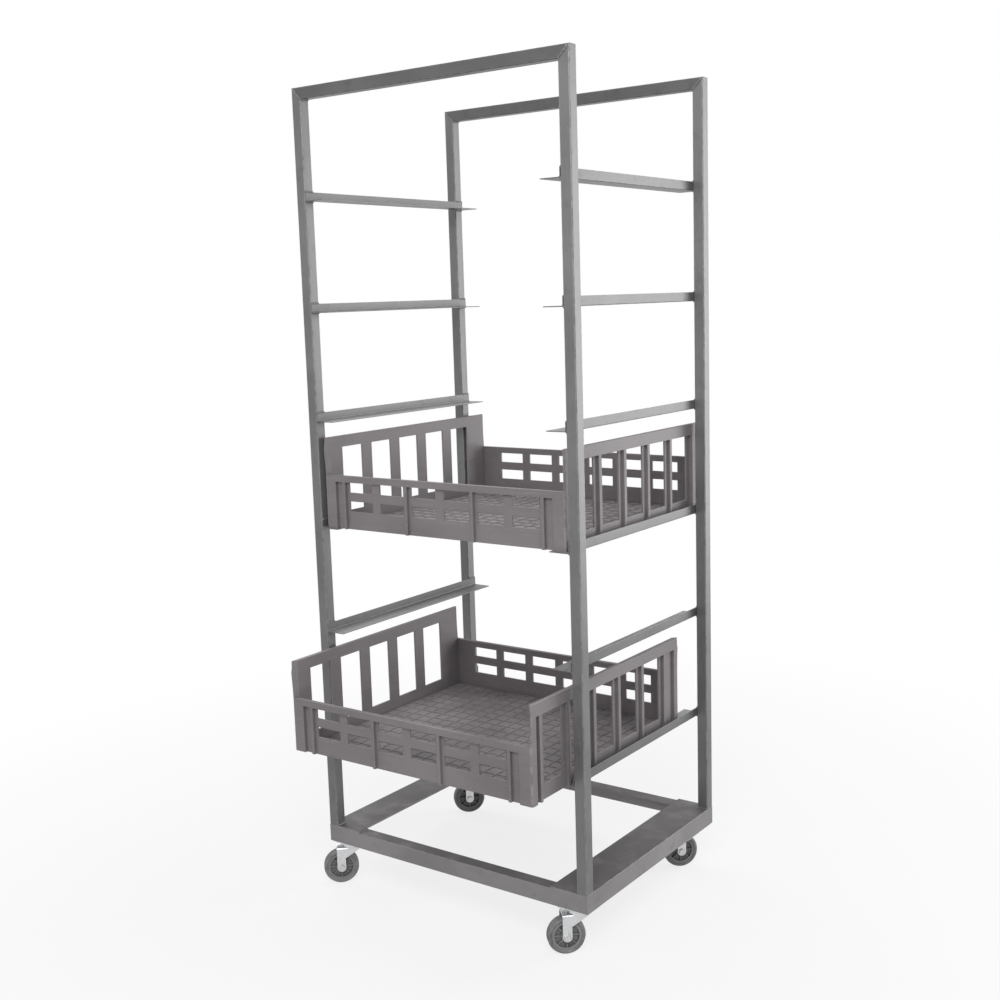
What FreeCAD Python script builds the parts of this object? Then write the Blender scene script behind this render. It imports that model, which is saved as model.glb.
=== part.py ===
"""Mobile produce rack: a welded steel frame with angle runners, two moulded crates and four swivel casters.

Millimetres. The origin is on the floor under the middle of the frame, +Z is up, the front is at -Y.
"""
import FreeCAD
import Part
import Sketcher

import math
import os
from types import SimpleNamespace

# Driving sizes: name, value, meaning
SIZE_TABLE = [
    ("crate_width", 630, "overall crate width across the side rims"),
    ("crate_length", 584, "overall crate length, front to back"),
    ("crate_height", 200, "height of the crate's side walls"),
    ("crate_wall", 4, "moulded wall thickness"),
    ("crate_floor", 4, "moulded floor thickness"),
    ("rim_overhang", 6, "how far rims and ribs stand out from the walls"),
    ("side_rim_height", 25, "height of the rim along a side wall"),
    ("end_wall_height", 118, "height of the low front and back walls"),
    ("end_rim_height", 14, "height of the rim along an end wall"),
    ("side_window_count", 5, "windows in one side wall"),
    ("side_window_width", 66, "width of a side window"),
    ("side_bar_width", 32, "upright bar between two side windows"),
    ("side_sill", 30, "bottom of the side windows above the crate's underside"),
    ("side_window_shift", 14, "middle of the side windows in front of the crate's middle"),
    ("end_window_count", 6, "window columns in one end wall"),
    ("end_window_width", 66, "width of an end window"),
    ("end_window_height", 23, "height of an end window"),
    ("end_bar_width", 21, "bar between two window columns"),
    ("end_row_gap", 19, "bar between the two window rows"),
    ("rib_width", 7, "width of an outside rib"),
    ("corner_post_side", 18, "width of a crate's corner post on a side wall"),
    ("corner_post_end", 24, "width of a crate's corner post on an end wall"),
    ("crate_play", 8, "side clearance between a crate and the runner's upright leg"),
    ("crate_headroom", 36.5, "space above a crate up to the next runner"),
    ("lower_crate_step_count", 0, "runner pairs below the lower crate's own"),
    ("upper_crate_step_count", 2, "runner pairs below the upper crate's own"),
    ("upper_crate_shift", 23.5, "upper crate's centre behind the frame's centre"),
    ("lower_crate_draw", 137, "how far the lower crate is drawn out, from the upper crate's place"),
    ("rack_depth", 550, "frame depth, outside to outside"),
    ("tube_size", 25, "side of the square tube"),
    ("tube_wall", 1.5, "wall of the square tube"),
    ("tube_corner", 2.5, "outside corner radius of the square tube"),
    ("runner_first", 362, "underside of the lowest runner above the floor"),
    ("runner_leg", 20, "upright leg of a runner angle"),
    ("runner_flange", 46, "flat flange of a runner angle"),
    ("runner_gauge", 2, "thickness of a runner angle"),
    ("rail_flange", 88, "flat flange of a base side rail"),
    ("rail_leg", 40, "upright leg of a base side rail"),
    ("rail_gauge", 4, "thickness of a base side rail"),
    ("cross_flange", 30, "flat flange of a base cross member"),
    ("cross_gauge", 3, "thickness of a base cross member"),
    ("pad_gauge", 4, "thickness of a corner pad"),
    ("pad_margin", 2, "pad beyond the caster plate's inner edges"),
    ("plate_length", 76, "caster plate, across the rack"),
    ("plate_width", 56, "caster plate, along the rack"),
    ("plate_gauge", 3, "caster plate thickness"),
    ("plate_setback", 2, "caster plate edge inside the frame's outer face"),
    ("bolt_edge", 10, "bolt centre from the plate's edge"),
    ("bolt_diameter", 6, "caster plate bolt"),
    ("hole_clearance", 0.3, "radial clearance of a bolt in its hole"),
    ("wheel_diameter", 80, "wheel over the tread"),
    ("tyre_depth", 9, "tyre thickness over the hub rim"),
    ("tyre_width", 24, "tyre width"),
    ("tyre_flank", 4.5, "widest part of the tyre below the tread"),
    ("shoulder_width", 20, "width between the tyre's shoulders"),
    ("shoulder_drop", 1.5, "tyre's shoulders below the tread"),
    ("tread_width", 12, "flat width of the tread"),
    ("hub_width", 28, "hub length along the axle"),
    ("hub_rim_width", 20, "width of the hub's rim"),
    ("hub_rim_depth", 5, "thickness of the hub's rim"),
    ("hub_web", 8, "thickness of the hub's web"),
    ("hub_boss_wall", 6, "wall of the hub's boss round the sleeve"),
    ("hub_play", 1.5, "gap between the hub and a fork leg"),
    ("sleeve_wall", 2, "wall of the axle sleeve"),
    ("axle_diameter", 8, "axle bolt"),
    ("fork_gauge", 2.5, "fork leg thickness"),
    ("fork_leg_width", 20, "fork leg width at the axle"),
    ("fork_back", 14, "fork leg behind the swivel axis at the crown"),
    ("fork_shoulder", 22, "straight part of the fork leg above the axle"),
    ("crown_gauge", 3, "fork crown thickness"),
    ("crown_diameter", 44, "round part of the fork crown"),
    ("wheel_headroom", 5, "gap between the tread and the fork crown"),
    ("caster_trail", 28, "axle behind the swivel axis"),
    ("caster_heading", 225, "direction in which the wheels trail, degrees from +X"),
    ("ball_diameter", 6, "swivel bearing ball"),
    ("ball_circle", 36, "pitch circle of the bearing balls"),
    ("ball_count", 12, "bearing balls in one swivel head"),
    ("race_depth", 2.6, "pressed race under the caster plate"),
    ("skirt_wall", 1.8, "wall of the dust skirt round the balls"),
    ("skirt_gap", 1.2, "gap between the dust skirt and the fork crown"),
    ("kingpin_diameter", 10, "kingpin"),
    ("kingpin_head", 18, "kingpin head diameter"),
    ("kingpin_head_depth", 3, "kingpin head thickness"),
    ("running_fit", 0.05, "radial clearance of a turning fit"),
    ("seat_fit", 0.02, "radial clearance of a fixed fit"),
    ("face_gap", 0.3, "clearance between turning faces"),
    ("ball_gap", 0.1, "clearance between a ball and the crown"),
]

RUNNER_LEVELS = 6

# Nut and bolt head sizes as shares of the thread diameter
HEX_ACROSS_FLATS = 1.67
HEX_HEAD_DEPTH = 0.66
HEX_NUT_DEPTH = 0.8
THREAD_END = 0.4

# Largest cross product of two unit vectors that count as parallel
PARALLEL = 1e-6

doc = FreeCAD.newDocument("produce_rack")
sheet = doc.addObject("Spreadsheet::Sheet", "sizes")
sub_parts = []


class Size:
    """A number together with the sheet expression that it comes from."""

    def __init__(self, value, text):
        self.value = value
        self.text = text

    def __add__(self, other):
        other = as_size(other)
        return Size(self.value + other.value, f"({self.text} + {other.text})")

    def __sub__(self, other):
        other = as_size(other)
        return Size(self.value - other.value, f"({self.text} - {other.text})")

    def __mul__(self, other):
        other = as_size(other)
        return Size(self.value * other.value, f"({self.text} * {other.text})")

    def __truediv__(self, other):
        other = as_size(other)
        return Size(self.value / other.value, f"({self.text} / {other.text})")

    def __neg__(self):
        return self * -1

    def __radd__(self, other):
        return as_size(other) + self

    def __rsub__(self, other):
        return as_size(other) - self

    __rmul__ = __mul__


def as_size(number):
    """A plain number as a Size; a Size stays as it is."""
    if isinstance(number, Size):
        return number
    return Size(float(number), f"({float(number)})")


def cosine(angle):
    """Cosine of a Size in degrees."""
    return Size(math.cos(math.radians(angle.value)), f"cos({angle.text} * 1deg)")


def sine(angle):
    """Sine of a Size in degrees."""
    return Size(math.sin(math.radians(angle.value)), f"sin({angle.text} * 1deg)")


def fill_sheet():
    """Write the driving sizes to the sheet and return them by name."""
    sizes = {}
    for row, (name, value, meaning) in enumerate(SIZE_TABLE, start=1):
        sheet.set(f"A{row}", meaning)
        sheet.set(f"B{row}", str(value))
        sheet.setAlias(f"B{row}", name)
        sizes[name] = Size(float(value), f"sizes.{name}")
    doc.recompute()
    return SimpleNamespace(**sizes)


d = fill_sheet()

# Sizes that follow from the driving ones
rack_width = d.crate_width + 2 * (d.crate_play + d.runner_gauge + d.tube_size)
runner_pitch = d.crate_height + d.crate_headroom
rack_height = d.runner_first + RUNNER_LEVELS * runner_pitch
wheel_radius = d.wheel_diameter / 2
crown_bottom = d.wheel_diameter + d.wheel_headroom
crown_top = crown_bottom + d.crown_gauge
race_bottom = crown_top + d.ball_gap + d.ball_diameter + d.face_gap
plate_bottom = race_bottom + d.race_depth
base_bottom = plate_bottom + d.plate_gauge
base_top = base_bottom + d.rail_leg
cross_leg = d.rail_leg - d.rail_gauge
swivel_inset_x = d.plate_setback + d.plate_length / 2
swivel_inset_y = d.plate_setback + d.plate_width / 2
bolt_spacing_x = d.plate_length - 2 * d.bolt_edge
bolt_spacing_y = d.plate_width - 2 * d.bolt_edge
swivel_x = rack_width / 2 - swivel_inset_x
swivel_y = d.rack_depth / 2 - swivel_inset_y
fork_gap = d.hub_width + 2 * d.hub_play
sleeve_radius = d.axle_diameter / 2 + d.seat_fit + d.sleeve_wall
hub_bore = sleeve_radius + d.running_fit
kingpin_bore = d.kingpin_diameter / 2 + d.running_fit


def vector(x, y):
    """Sketch point for two Sizes or numbers."""
    return FreeCAD.Vector(as_size(x).value, as_size(y).value, 0)


def new_body(label, x=0, y=0, z=0, turn=0):
    """Empty body with its own place and turn about Z."""
    body = doc.addObject("PartDesign::Body", label)
    body.Label = label
    for axis, place in zip("xyz", (x, y, z)):
        body.setExpression(f"Placement.Base.{axis}", as_size(place).text)
    body.setExpression("Placement.Rotation.Angle", as_size(turn).text)
    sub_parts.append(body)
    return body


def origin_feature(body, role):
    """One of a body's own origin planes or axes."""
    return next(item for item in body.Origin.OriginFeatures if item.Role == role)


def new_sketch(body, plane, offset=0):
    """Sketch on one of the body's origin planes, moved along the plane's normal."""
    sketch = body.newObject("Sketcher::SketchObject", f"{body.Name}_sketch")
    sketch.AttachmentSupport = [(origin_feature(body, plane), "")]
    sketch.MapMode = "FlatFace"
    sketch.setExpression("AttachmentOffset.Base.z", as_size(offset).text)
    return sketch


def place_point(sketch, edge, end, x, y):
    """Hold the end of a sketch edge at a place given by two Sizes."""
    for kind, place in (("DistanceX", as_size(x)), ("DistanceY", as_size(y))):
        index = sketch.addConstraint(Sketcher.Constraint(kind, edge, end, place.value))
        sketch.setExpression(f"Constraints[{index}]", place.text)


def draw_outline(sketch, points):
    """Closed outline of straight edges through the points."""
    first = sketch.GeometryCount
    count = len(points)
    for start, end in zip(points, points[1:] + points[:1]):
        sketch.addGeometry(Part.LineSegment(vector(*start), vector(*end)), False)
    for step, point in enumerate(points):
        following = first + (step + 1) % count
        sketch.addConstraint(Sketcher.Constraint("Coincident", first + step, 2, following, 1))
        place_point(sketch, first + step, 1, *point)


def draw_rectangle(sketch, low_x, low_y, high_x, high_y):
    """Rectangle between two corners."""
    draw_outline(sketch, [(low_x, low_y), (high_x, low_y), (high_x, high_y), (low_x, high_y)])


def draw_centred(sketch, width, height):
    """Rectangle round the sketch's origin."""
    draw_rectangle(sketch, -width / 2, -height / 2, width / 2, height / 2)


def draw_circle(sketch, x, y, radius):
    """Circle at a place."""
    radius = as_size(radius)
    upright = FreeCAD.Vector(0, 0, 1)
    edge = sketch.addGeometry(Part.Circle(vector(x, y), upright, radius.value), False)
    place_point(sketch, edge, 3, x, y)
    index = sketch.addConstraint(Sketcher.Constraint("Radius", edge, radius.value))
    sketch.setExpression(f"Constraints[{index}]", radius.text)


def draw_hexagon(sketch, x, y, across_flats):
    """Hexagon with two flats square to the sketch's X axis."""
    flat = across_flats / 2
    side = across_flats / (2 * math.sqrt(3))
    corners = [(flat, -side), (flat, side), (0, 2 * side), (-flat, side), (-flat, -side), (0, -2 * side)]
    draw_outline(sketch, [(x + dx, y + dy) for dx, dy in corners])


def pad(body, sketch, length, symmetric=False, reverse=False):
    """Extrude a sketch into material."""
    feature = body.newObject("PartDesign::Pad", f"{body.Name}_pad")
    feature.Profile = sketch
    feature.setExpression("Length", as_size(length).text)
    feature.SideType = "Symmetric" if symmetric else "One side"
    feature.Reversed = reverse
    return feature


def cut_through(body, sketch):
    """Cut a sketch right through the body, both ways."""
    feature = body.newObject("PartDesign::Pocket", f"{body.Name}_cut")
    feature.Profile = sketch
    feature.Type = "ThroughAll"
    feature.SideType = "Symmetric"
    return feature


def cut_depth(body, sketch, depth, symmetric=False, reverse=False):
    """Cut a sketch to a depth, against the plane's normal unless reversed."""
    feature = body.newObject("PartDesign::Pocket", f"{body.Name}_cut")
    feature.Profile = sketch
    feature.Type = "Length"
    feature.setExpression("Length", as_size(depth).text)
    feature.SideType = "Symmetric" if symmetric else "One side"
    feature.Reversed = reverse
    return feature


def turn_profile(body, sketch, axis):
    """Full turn of a sketch about one of the body's axes."""
    feature = body.newObject("PartDesign::Revolution", f"{body.Name}_turn")
    feature.Profile = sketch
    feature.ReferenceAxis = (origin_feature(body, axis), [""])
    feature.Angle = 360
    return feature


def repeat(body, features, axis, spacing, count):
    """Repeat features in a row along one of the body's axes."""
    row = body.newObject("PartDesign::LinearPattern", f"{body.Name}_row")
    row.Originals = features
    row.Direction = (origin_feature(body, axis), [""])
    row.Mode = "Spacing"
    row.setExpression("Offset", as_size(spacing).text)
    row.setExpression("Occurrences", as_size(count).text)
    body.Tip = row
    return row


def repeat_at_casters(body, features):
    """Repeat features made at the front left caster at the other three."""
    grid = repeat(body, features, "X_Axis", 2 * swivel_x, 2)
    grid.Direction2 = (origin_feature(body, "Y_Axis"), [""])
    grid.Mode2 = "Spacing"
    grid.setExpression("Offset2", (2 * swivel_y).text)
    grid.Occurrences2 = 2
    # A spacing of -1 takes the step from Offset2
    grid.Spacings2 = [-1.0]


def round_tube(body, tube, axis):
    """Round the four outside edges of a square tube that runs along a unit vector."""
    doc.recompute()
    wall_middle = (d.tube_size - d.tube_wall).value / math.sqrt(2)
    names = []
    for index, edge in enumerate(tube.Shape.Edges, start=1):
        outside = edge.CenterOfMass.cross(axis).Length > wall_middle
        if outside and edge.Curve.Direction.cross(axis).Length < PARALLEL:
            names.append(f"Edge{index}")
    rounding = body.newObject("PartDesign::Fillet", f"{body.Name}_corners")
    rounding.Base = (tube, names)
    rounding.setExpression("Radius", d.tube_corner.text)


def make_post(label, side, face):
    """Upright square tube, mitred at the top towards the frame's middle."""
    centre = d.tube_size / 2
    length = rack_height - base_top
    body = new_body(
        label,
        x=side * (rack_width / 2 - centre),
        y=face * (d.rack_depth / 2 - centre),
        z=base_top,
        turn=0 if side < 0 else 180,
    )
    section = new_sketch(body, "XY_Plane")
    draw_centred(section, d.tube_size, d.tube_size)
    bore = d.tube_size - 2 * d.tube_wall
    draw_centred(section, bore, bore)
    tube = pad(body, section, length)
    round_tube(body, tube, FreeCAD.Vector(0, 0, 1))
    mitre = new_sketch(body, "XZ_Plane")
    draw_outline(mitre, [(-centre, length), (centre, length - d.tube_size), (centre, length)])
    cut_through(body, mitre)


def make_top_bar(label, face):
    """Level square tube across the top, mitred at both ends."""
    centre = d.tube_size / 2
    body = new_body(label, y=face * (d.rack_depth / 2 - centre), z=rack_height - centre)
    section = new_sketch(body, "YZ_Plane")
    draw_centred(section, d.tube_size, d.tube_size)
    bore = d.tube_size - 2 * d.tube_wall
    draw_centred(section, bore, bore)
    tube = pad(body, section, rack_width, symmetric=True)
    round_tube(body, tube, FreeCAD.Vector(1, 0, 0))
    mitres = new_sketch(body, "XZ_Plane")
    for side in (-1, 1):
        end = side * rack_width / 2
        inner = end - side * d.tube_size
        draw_outline(mitres, [(end, centre), (end, -centre), (inner, -centre)])
    cut_through(body, mitres)


def make_angle(label, plane, legs, gauge, length, **place):
    """Angle bar: flange along the sketch's X axis, leg along its Y axis, from a corner at the origin."""
    flange, leg = legs
    body = new_body(label, **place)
    rise = 1 if leg.value > 0 else -1
    section = new_sketch(body, plane)
    corners = [(0, 0), (flange, 0), (flange, rise * gauge), (gauge, rise * gauge), (gauge, leg), (0, leg)]
    draw_outline(section, corners)
    pad(body, section, length, symmetric=True)


def make_runner(label, side, level):
    """Angle runner on the inner faces of a front and a rear post, flange inwards at the bottom."""
    make_angle(
        label,
        "XZ_Plane",
        (d.runner_flange, d.runner_leg),
        d.runner_gauge,
        d.rack_depth,
        x=side * (rack_width / 2 - d.tube_size),
        z=d.runner_first + (level - 1) * runner_pitch,
        turn=0 if side < 0 else 180,
    )


def make_side_rail(label, side):
    """Base angle under the posts of one side, flange inwards on top and leg down outside."""
    make_angle(
        label,
        "XZ_Plane",
        (d.rail_flange, -d.rail_leg),
        d.rail_gauge,
        d.rack_depth,
        x=side * rack_width / 2,
        z=base_top,
        turn=0 if side < 0 else 180,
    )


def make_cross_member(label, face):
    """Base angle between the side rails' legs, under their flanges."""
    make_angle(
        label,
        "YZ_Plane",
        (d.cross_flange, -cross_leg),
        d.cross_gauge,
        rack_width - 2 * d.rail_gauge,
        y=face * d.rack_depth / 2,
        z=base_top - d.rail_gauge,
        turn=0 if face < 0 else 180,
    )


def make_corner_pads():
    """Flat pads that close the frame's corners from below and carry the caster plates."""
    body = new_body("corner_pads", z=base_bottom)
    pads = new_sketch(body, "XY_Plane")
    for side in (-1, 1):
        for face in (-1, 1):
            reach_x = swivel_inset_x + d.plate_length / 2 + d.pad_margin
            reach_y = swivel_inset_y + d.plate_width / 2 + d.pad_margin
            near_x = side * (rack_width / 2 - reach_x)
            near_y = face * (d.rack_depth / 2 - reach_y)
            far_x = side * (rack_width / 2 - d.rail_gauge)
            far_y = face * (d.rack_depth / 2 - d.cross_gauge)
            draw_rectangle(pads, near_x, near_y, far_x, far_y)
    pad(body, pads, d.pad_gauge)
    holes = new_sketch(body, "XY_Plane")
    for x, y in plate_bolt_places():
        draw_circle(holes, x - swivel_x, y - swivel_y, d.bolt_diameter / 2 + d.hole_clearance)
    repeat_at_casters(body, [cut_through(body, holes)])


def plate_bolt_places():
    """Bolt centres of one caster plate, from its middle."""
    x = bolt_spacing_x / 2
    y = bolt_spacing_y / 2
    return [(-x, -y), (x, -y), (x, y), (-x, y)]


def make_caster_bolts():
    """Hexagon bolts up through the caster plates and corner pads."""
    body = new_body("caster_bolts", z=plate_bottom)
    heads = new_sketch(body, "XY_Plane")
    shanks = new_sketch(body, "XY_Plane")
    for x, y in plate_bolt_places():
        draw_hexagon(heads, x - swivel_x, y - swivel_y, HEX_ACROSS_FLATS * d.bolt_diameter)
        draw_circle(shanks, x - swivel_x, y - swivel_y, d.bolt_diameter / 2)
    grip = d.plate_gauge + d.pad_gauge + (HEX_NUT_DEPTH + THREAD_END) * d.bolt_diameter
    head = pad(body, heads, HEX_HEAD_DEPTH * d.bolt_diameter, reverse=True)
    shank = pad(body, shanks, grip)
    repeat_at_casters(body, [head, shank])


def make_caster_nuts():
    """Hexagon nuts on top of the corner pads."""
    body = new_body("caster_nuts", z=base_bottom + d.pad_gauge)
    nuts = new_sketch(body, "XY_Plane")
    for x, y in plate_bolt_places():
        draw_hexagon(nuts, x - swivel_x, y - swivel_y, HEX_ACROSS_FLATS * d.bolt_diameter)
        draw_circle(nuts, x - swivel_x, y - swivel_y, d.bolt_diameter / 2 + d.seat_fit)
    repeat_at_casters(body, [pad(body, nuts, HEX_NUT_DEPTH * d.bolt_diameter)])


def make_crate(label, steps, shift):
    """Moulded crate: high side walls with tall windows, low end walls with two rows of windows."""
    body = new_body(label, y=shift, z=d.runner_first + steps * runner_pitch + d.runner_gauge)
    wall_x = d.crate_width / 2 - d.rim_overhang
    wall_y = d.crate_length / 2 - d.rim_overhang
    inside_x = wall_x - d.crate_wall
    inside_y = wall_y - d.crate_wall

    block = new_sketch(body, "XY_Plane")
    draw_centred(block, 2 * wall_x, 2 * wall_y)
    pad(body, block, d.crate_height)
    hollow = new_sketch(body, "XY_Plane", d.crate_floor)
    draw_centred(hollow, 2 * inside_x, 2 * inside_y)
    cut_depth(body, hollow, d.crate_height, reverse=True)
    notch = new_sketch(body, "XZ_Plane")
    draw_rectangle(notch, -inside_x, d.end_wall_height, inside_x, d.crate_height)
    cut_through(body, notch)

    side_rims = new_sketch(body, "XY_Plane", d.crate_height - d.side_rim_height)
    for side in (-1, 1):
        inner = side * inside_x
        outer = side * d.crate_width / 2
        draw_rectangle(side_rims, inner, -d.crate_length / 2, outer, d.crate_length / 2)
    pad(body, side_rims, d.side_rim_height)
    end_rims = new_sketch(body, "XY_Plane", d.end_wall_height - d.end_rim_height)
    for face in (-1, 1):
        draw_rectangle(end_rims, -wall_x, face * inside_y, wall_x, face * d.crate_length / 2)
    pad(body, end_rims, d.end_rim_height)

    side_pitch = d.side_window_width + d.side_bar_width
    window_row = (d.side_window_count - 1) * side_pitch + d.side_window_width
    first_window = -d.side_window_shift - window_row / 2
    first_rib = first_window - d.side_bar_width / 2
    ribs = new_sketch(body, "XY_Plane")
    for side in (-1, 1):
        draw_rectangle(
            ribs,
            side * wall_x,
            first_rib - d.rib_width / 2,
            side * d.crate_width / 2,
            first_rib + d.rib_width / 2,
        )
    rib_pair = pad(body, ribs, d.crate_height - d.side_rim_height)
    repeat(body, [rib_pair], "Y_Axis", side_pitch, d.side_window_count + 1)

    side_posts = new_sketch(body, "XY_Plane")
    end_posts = new_sketch(body, "XY_Plane")
    for side in (-1, 1):
        for face in (-1, 1):
            tip = face * d.crate_length / 2
            post_edge = tip - face * d.corner_post_side
            draw_rectangle(side_posts, side * wall_x, post_edge, side * d.crate_width / 2, tip)
            draw_rectangle(end_posts, side * (wall_x - d.corner_post_end), face * wall_y, side * wall_x, tip)
    pad(body, side_posts, d.crate_height - d.side_rim_height)
    pad(body, end_posts, d.end_wall_height - d.end_rim_height)

    window_top = d.crate_height - d.side_rim_height
    side_window = new_sketch(body, "YZ_Plane")
    draw_rectangle(side_window, first_window, d.side_sill, first_window + d.side_window_width, window_top)
    side_cut = cut_through(body, side_window)
    repeat(body, [side_cut], "Y_Axis", side_pitch, d.side_window_count)

    end_pitch = d.end_window_width + d.end_bar_width
    first_column = -((d.end_window_count - 1) * end_pitch + d.end_window_width) / 2
    end_windows = new_sketch(body, "XZ_Plane")
    for row in (0, 1):
        top = d.end_wall_height - d.end_rim_height - row * (d.end_window_height + d.end_row_gap)
        draw_rectangle(
            end_windows,
            first_column,
            top - d.end_window_height,
            first_column + d.end_window_width,
            top,
        )
    end_cut = cut_through(body, end_windows)
    repeat(body, [end_cut], "X_Axis", end_pitch, d.end_window_count)


class Caster:
    """Swivel caster at one corner of the base; the wheel trails along the caster's own +X."""

    def __init__(self, corner, side, face):
        self.corner = corner
        self.x = side * swivel_x
        self.y = face * swivel_y

    def body(self, piece, z=0, heading=True):
        """Body on the swivel axis."""
        turn = d.caster_heading if heading else 0
        return new_body(f"{self.corner}_{piece}", self.x, self.y, z, turn)

    def wheel_body(self, piece):
        """Body at the wheel's centre, with the axle along its own Y."""
        x = self.x + d.caster_trail * cosine(d.caster_heading)
        y = self.y + d.caster_trail * sine(d.caster_heading)
        return new_body(f"{self.corner}_{piece}", x, y, wheel_radius, d.caster_heading)

    def build(self):
        """All pieces of the caster."""
        self.make_plate()
        self.make_kingpin()
        self.make_balls()
        self.make_fork()
        self.make_axle()
        self.make_sleeve()
        self.make_hub()
        self.make_tyre()

    def make_plate(self):
        """Top plate with the pressed upper race and its dust skirt."""
        body = self.body("caster_plate", heading=False)
        bore = d.kingpin_diameter / 2 + d.seat_fit
        outline = new_sketch(body, "XY_Plane", plate_bottom)
        draw_centred(outline, d.plate_length, d.plate_width)
        draw_circle(outline, 0, 0, bore)
        for x, y in plate_bolt_places():
            draw_circle(outline, x, y, d.bolt_diameter / 2 + d.hole_clearance)
        pad(body, outline, d.plate_gauge)
        skirt_inside = d.crown_diameter / 2 + d.skirt_gap
        skirt_outside = skirt_inside + d.skirt_wall
        skirt_bottom = crown_top + d.skirt_gap
        race = new_sketch(body, "XZ_Plane")
        draw_outline(race, [
            (bore, plate_bottom),
            (bore, race_bottom),
            (skirt_inside, race_bottom),
            (skirt_inside, skirt_bottom),
            (skirt_outside, skirt_bottom),
            (skirt_outside, plate_bottom),
        ])
        turn_profile(body, race, "Z_Axis")

    def make_kingpin(self):
        """Riveted pin that the fork turns on, with its head under the crown."""
        body = self.body("kingpin", heading=False)
        radius = d.kingpin_diameter / 2
        head_top = crown_bottom - d.face_gap
        half = new_sketch(body, "XZ_Plane")
        draw_outline(half, [
            (0, head_top - d.kingpin_head_depth),
            (d.kingpin_head / 2, head_top - d.kingpin_head_depth),
            (d.kingpin_head / 2, head_top),
            (radius, head_top),
            (radius, base_bottom - d.face_gap),
            (0, base_bottom - d.face_gap),
        ])
        turn_profile(body, half, "Z_Axis")

    def make_balls(self):
        """Ring of bearing balls between the crown and the upper race."""
        body = self.body("bearing_balls", z=crown_top + d.ball_gap + d.ball_diameter / 2)
        radius = d.ball_diameter / 2
        centre = d.ball_circle / 2
        half = new_sketch(body, "XZ_Plane")
        upright = FreeCAD.Vector(0, 0, 1)
        circle = Part.Circle(vector(centre, 0), upright, radius.value)
        arc = half.addGeometry(Part.ArcOfCircle(circle, -math.pi / 2, math.pi / 2), False)
        chord = half.addGeometry(Part.LineSegment(vector(centre, radius), vector(centre, -radius)), False)
        half.addConstraint(Sketcher.Constraint("Coincident", arc, 2, chord, 1))
        half.addConstraint(Sketcher.Constraint("Coincident", chord, 2, arc, 1))
        place_point(half, chord, 1, centre, radius)
        half.addConstraint(Sketcher.Constraint("Vertical", chord))
        place_point(half, arc, 3, centre, 0)
        ball = body.newObject("PartDesign::Revolution", f"{body.Name}_ball")
        ball.Profile = half
        ball.ReferenceAxis = (half, [f"Edge{chord + 1}"])
        ball.Angle = 360
        ring = body.newObject("PartDesign::PolarPattern", f"{body.Name}_ring")
        ring.Originals = [ball]
        ring.Axis = (origin_feature(body, "Z_Axis"), [""])
        ring.Angle = 360
        ring.setExpression("Occurrences", d.ball_count.text)
        body.Tip = ring

    def make_fork(self):
        """Pressed fork: round crown on the swivel axis and two legs down to the axle."""
        body = self.body("caster_fork")
        half = d.fork_leg_width / 2
        front = d.caster_trail - half
        back = d.caster_trail + half
        width = fork_gap + 2 * d.fork_gauge
        profile = new_sketch(body, "XZ_Plane")
        draw_outline(profile, [
            (back, wheel_radius),
            (back, crown_top),
            (-d.fork_back, crown_top),
            (-d.fork_back, crown_bottom - d.crown_gauge),
            (front, wheel_radius + d.fork_shoulder),
            (front, wheel_radius),
        ])
        pad(body, profile, width, symmetric=True)
        ends = new_sketch(body, "XZ_Plane")
        draw_circle(ends, d.caster_trail, wheel_radius, half)
        pad(body, ends, width, symmetric=True)
        inside = new_sketch(body, "XZ_Plane")
        draw_rectangle(inside, -d.crown_diameter, 0, back + half, crown_bottom)
        cut_depth(body, inside, fork_gap, symmetric=True)
        crown = new_sketch(body, "XY_Plane", crown_bottom)
        draw_circle(crown, 0, 0, d.crown_diameter / 2)
        pad(body, crown, d.crown_gauge)
        pin_hole = new_sketch(body, "XY_Plane")
        draw_circle(pin_hole, 0, 0, kingpin_bore)
        cut_through(body, pin_hole)
        axle_hole = new_sketch(body, "XZ_Plane")
        draw_circle(axle_hole, d.caster_trail, wheel_radius, d.axle_diameter / 2 + d.seat_fit)
        cut_through(body, axle_hole)

    def make_axle(self):
        """Axle bolt through both fork legs, with its nut."""
        body = self.wheel_body("axle")
        outside = fork_gap / 2 + d.fork_gauge
        flats = HEX_ACROSS_FLATS * d.axle_diameter
        nut_depth = HEX_NUT_DEPTH * d.axle_diameter
        shank = new_sketch(body, "XZ_Plane", -outside)
        draw_circle(shank, 0, 0, d.axle_diameter / 2)
        pad(body, shank, 2 * outside + nut_depth + THREAD_END * d.axle_diameter)
        head = new_sketch(body, "XZ_Plane", -outside)
        draw_hexagon(head, 0, 0, flats)
        pad(body, head, HEX_HEAD_DEPTH * d.axle_diameter, reverse=True)
        nut = new_sketch(body, "XZ_Plane", outside)
        draw_hexagon(nut, 0, 0, flats)
        draw_circle(nut, 0, 0, d.axle_diameter / 2 + d.seat_fit)
        pad(body, nut, nut_depth)

    def make_sleeve(self):
        """Steel sleeve clamped between the fork legs, on which the hub turns."""
        body = self.wheel_body("axle_sleeve")
        section = new_sketch(body, "XZ_Plane")
        draw_circle(section, 0, 0, sleeve_radius)
        draw_circle(section, 0, 0, d.axle_diameter / 2 + d.seat_fit)
        pad(body, section, fork_gap, symmetric=True)

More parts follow.
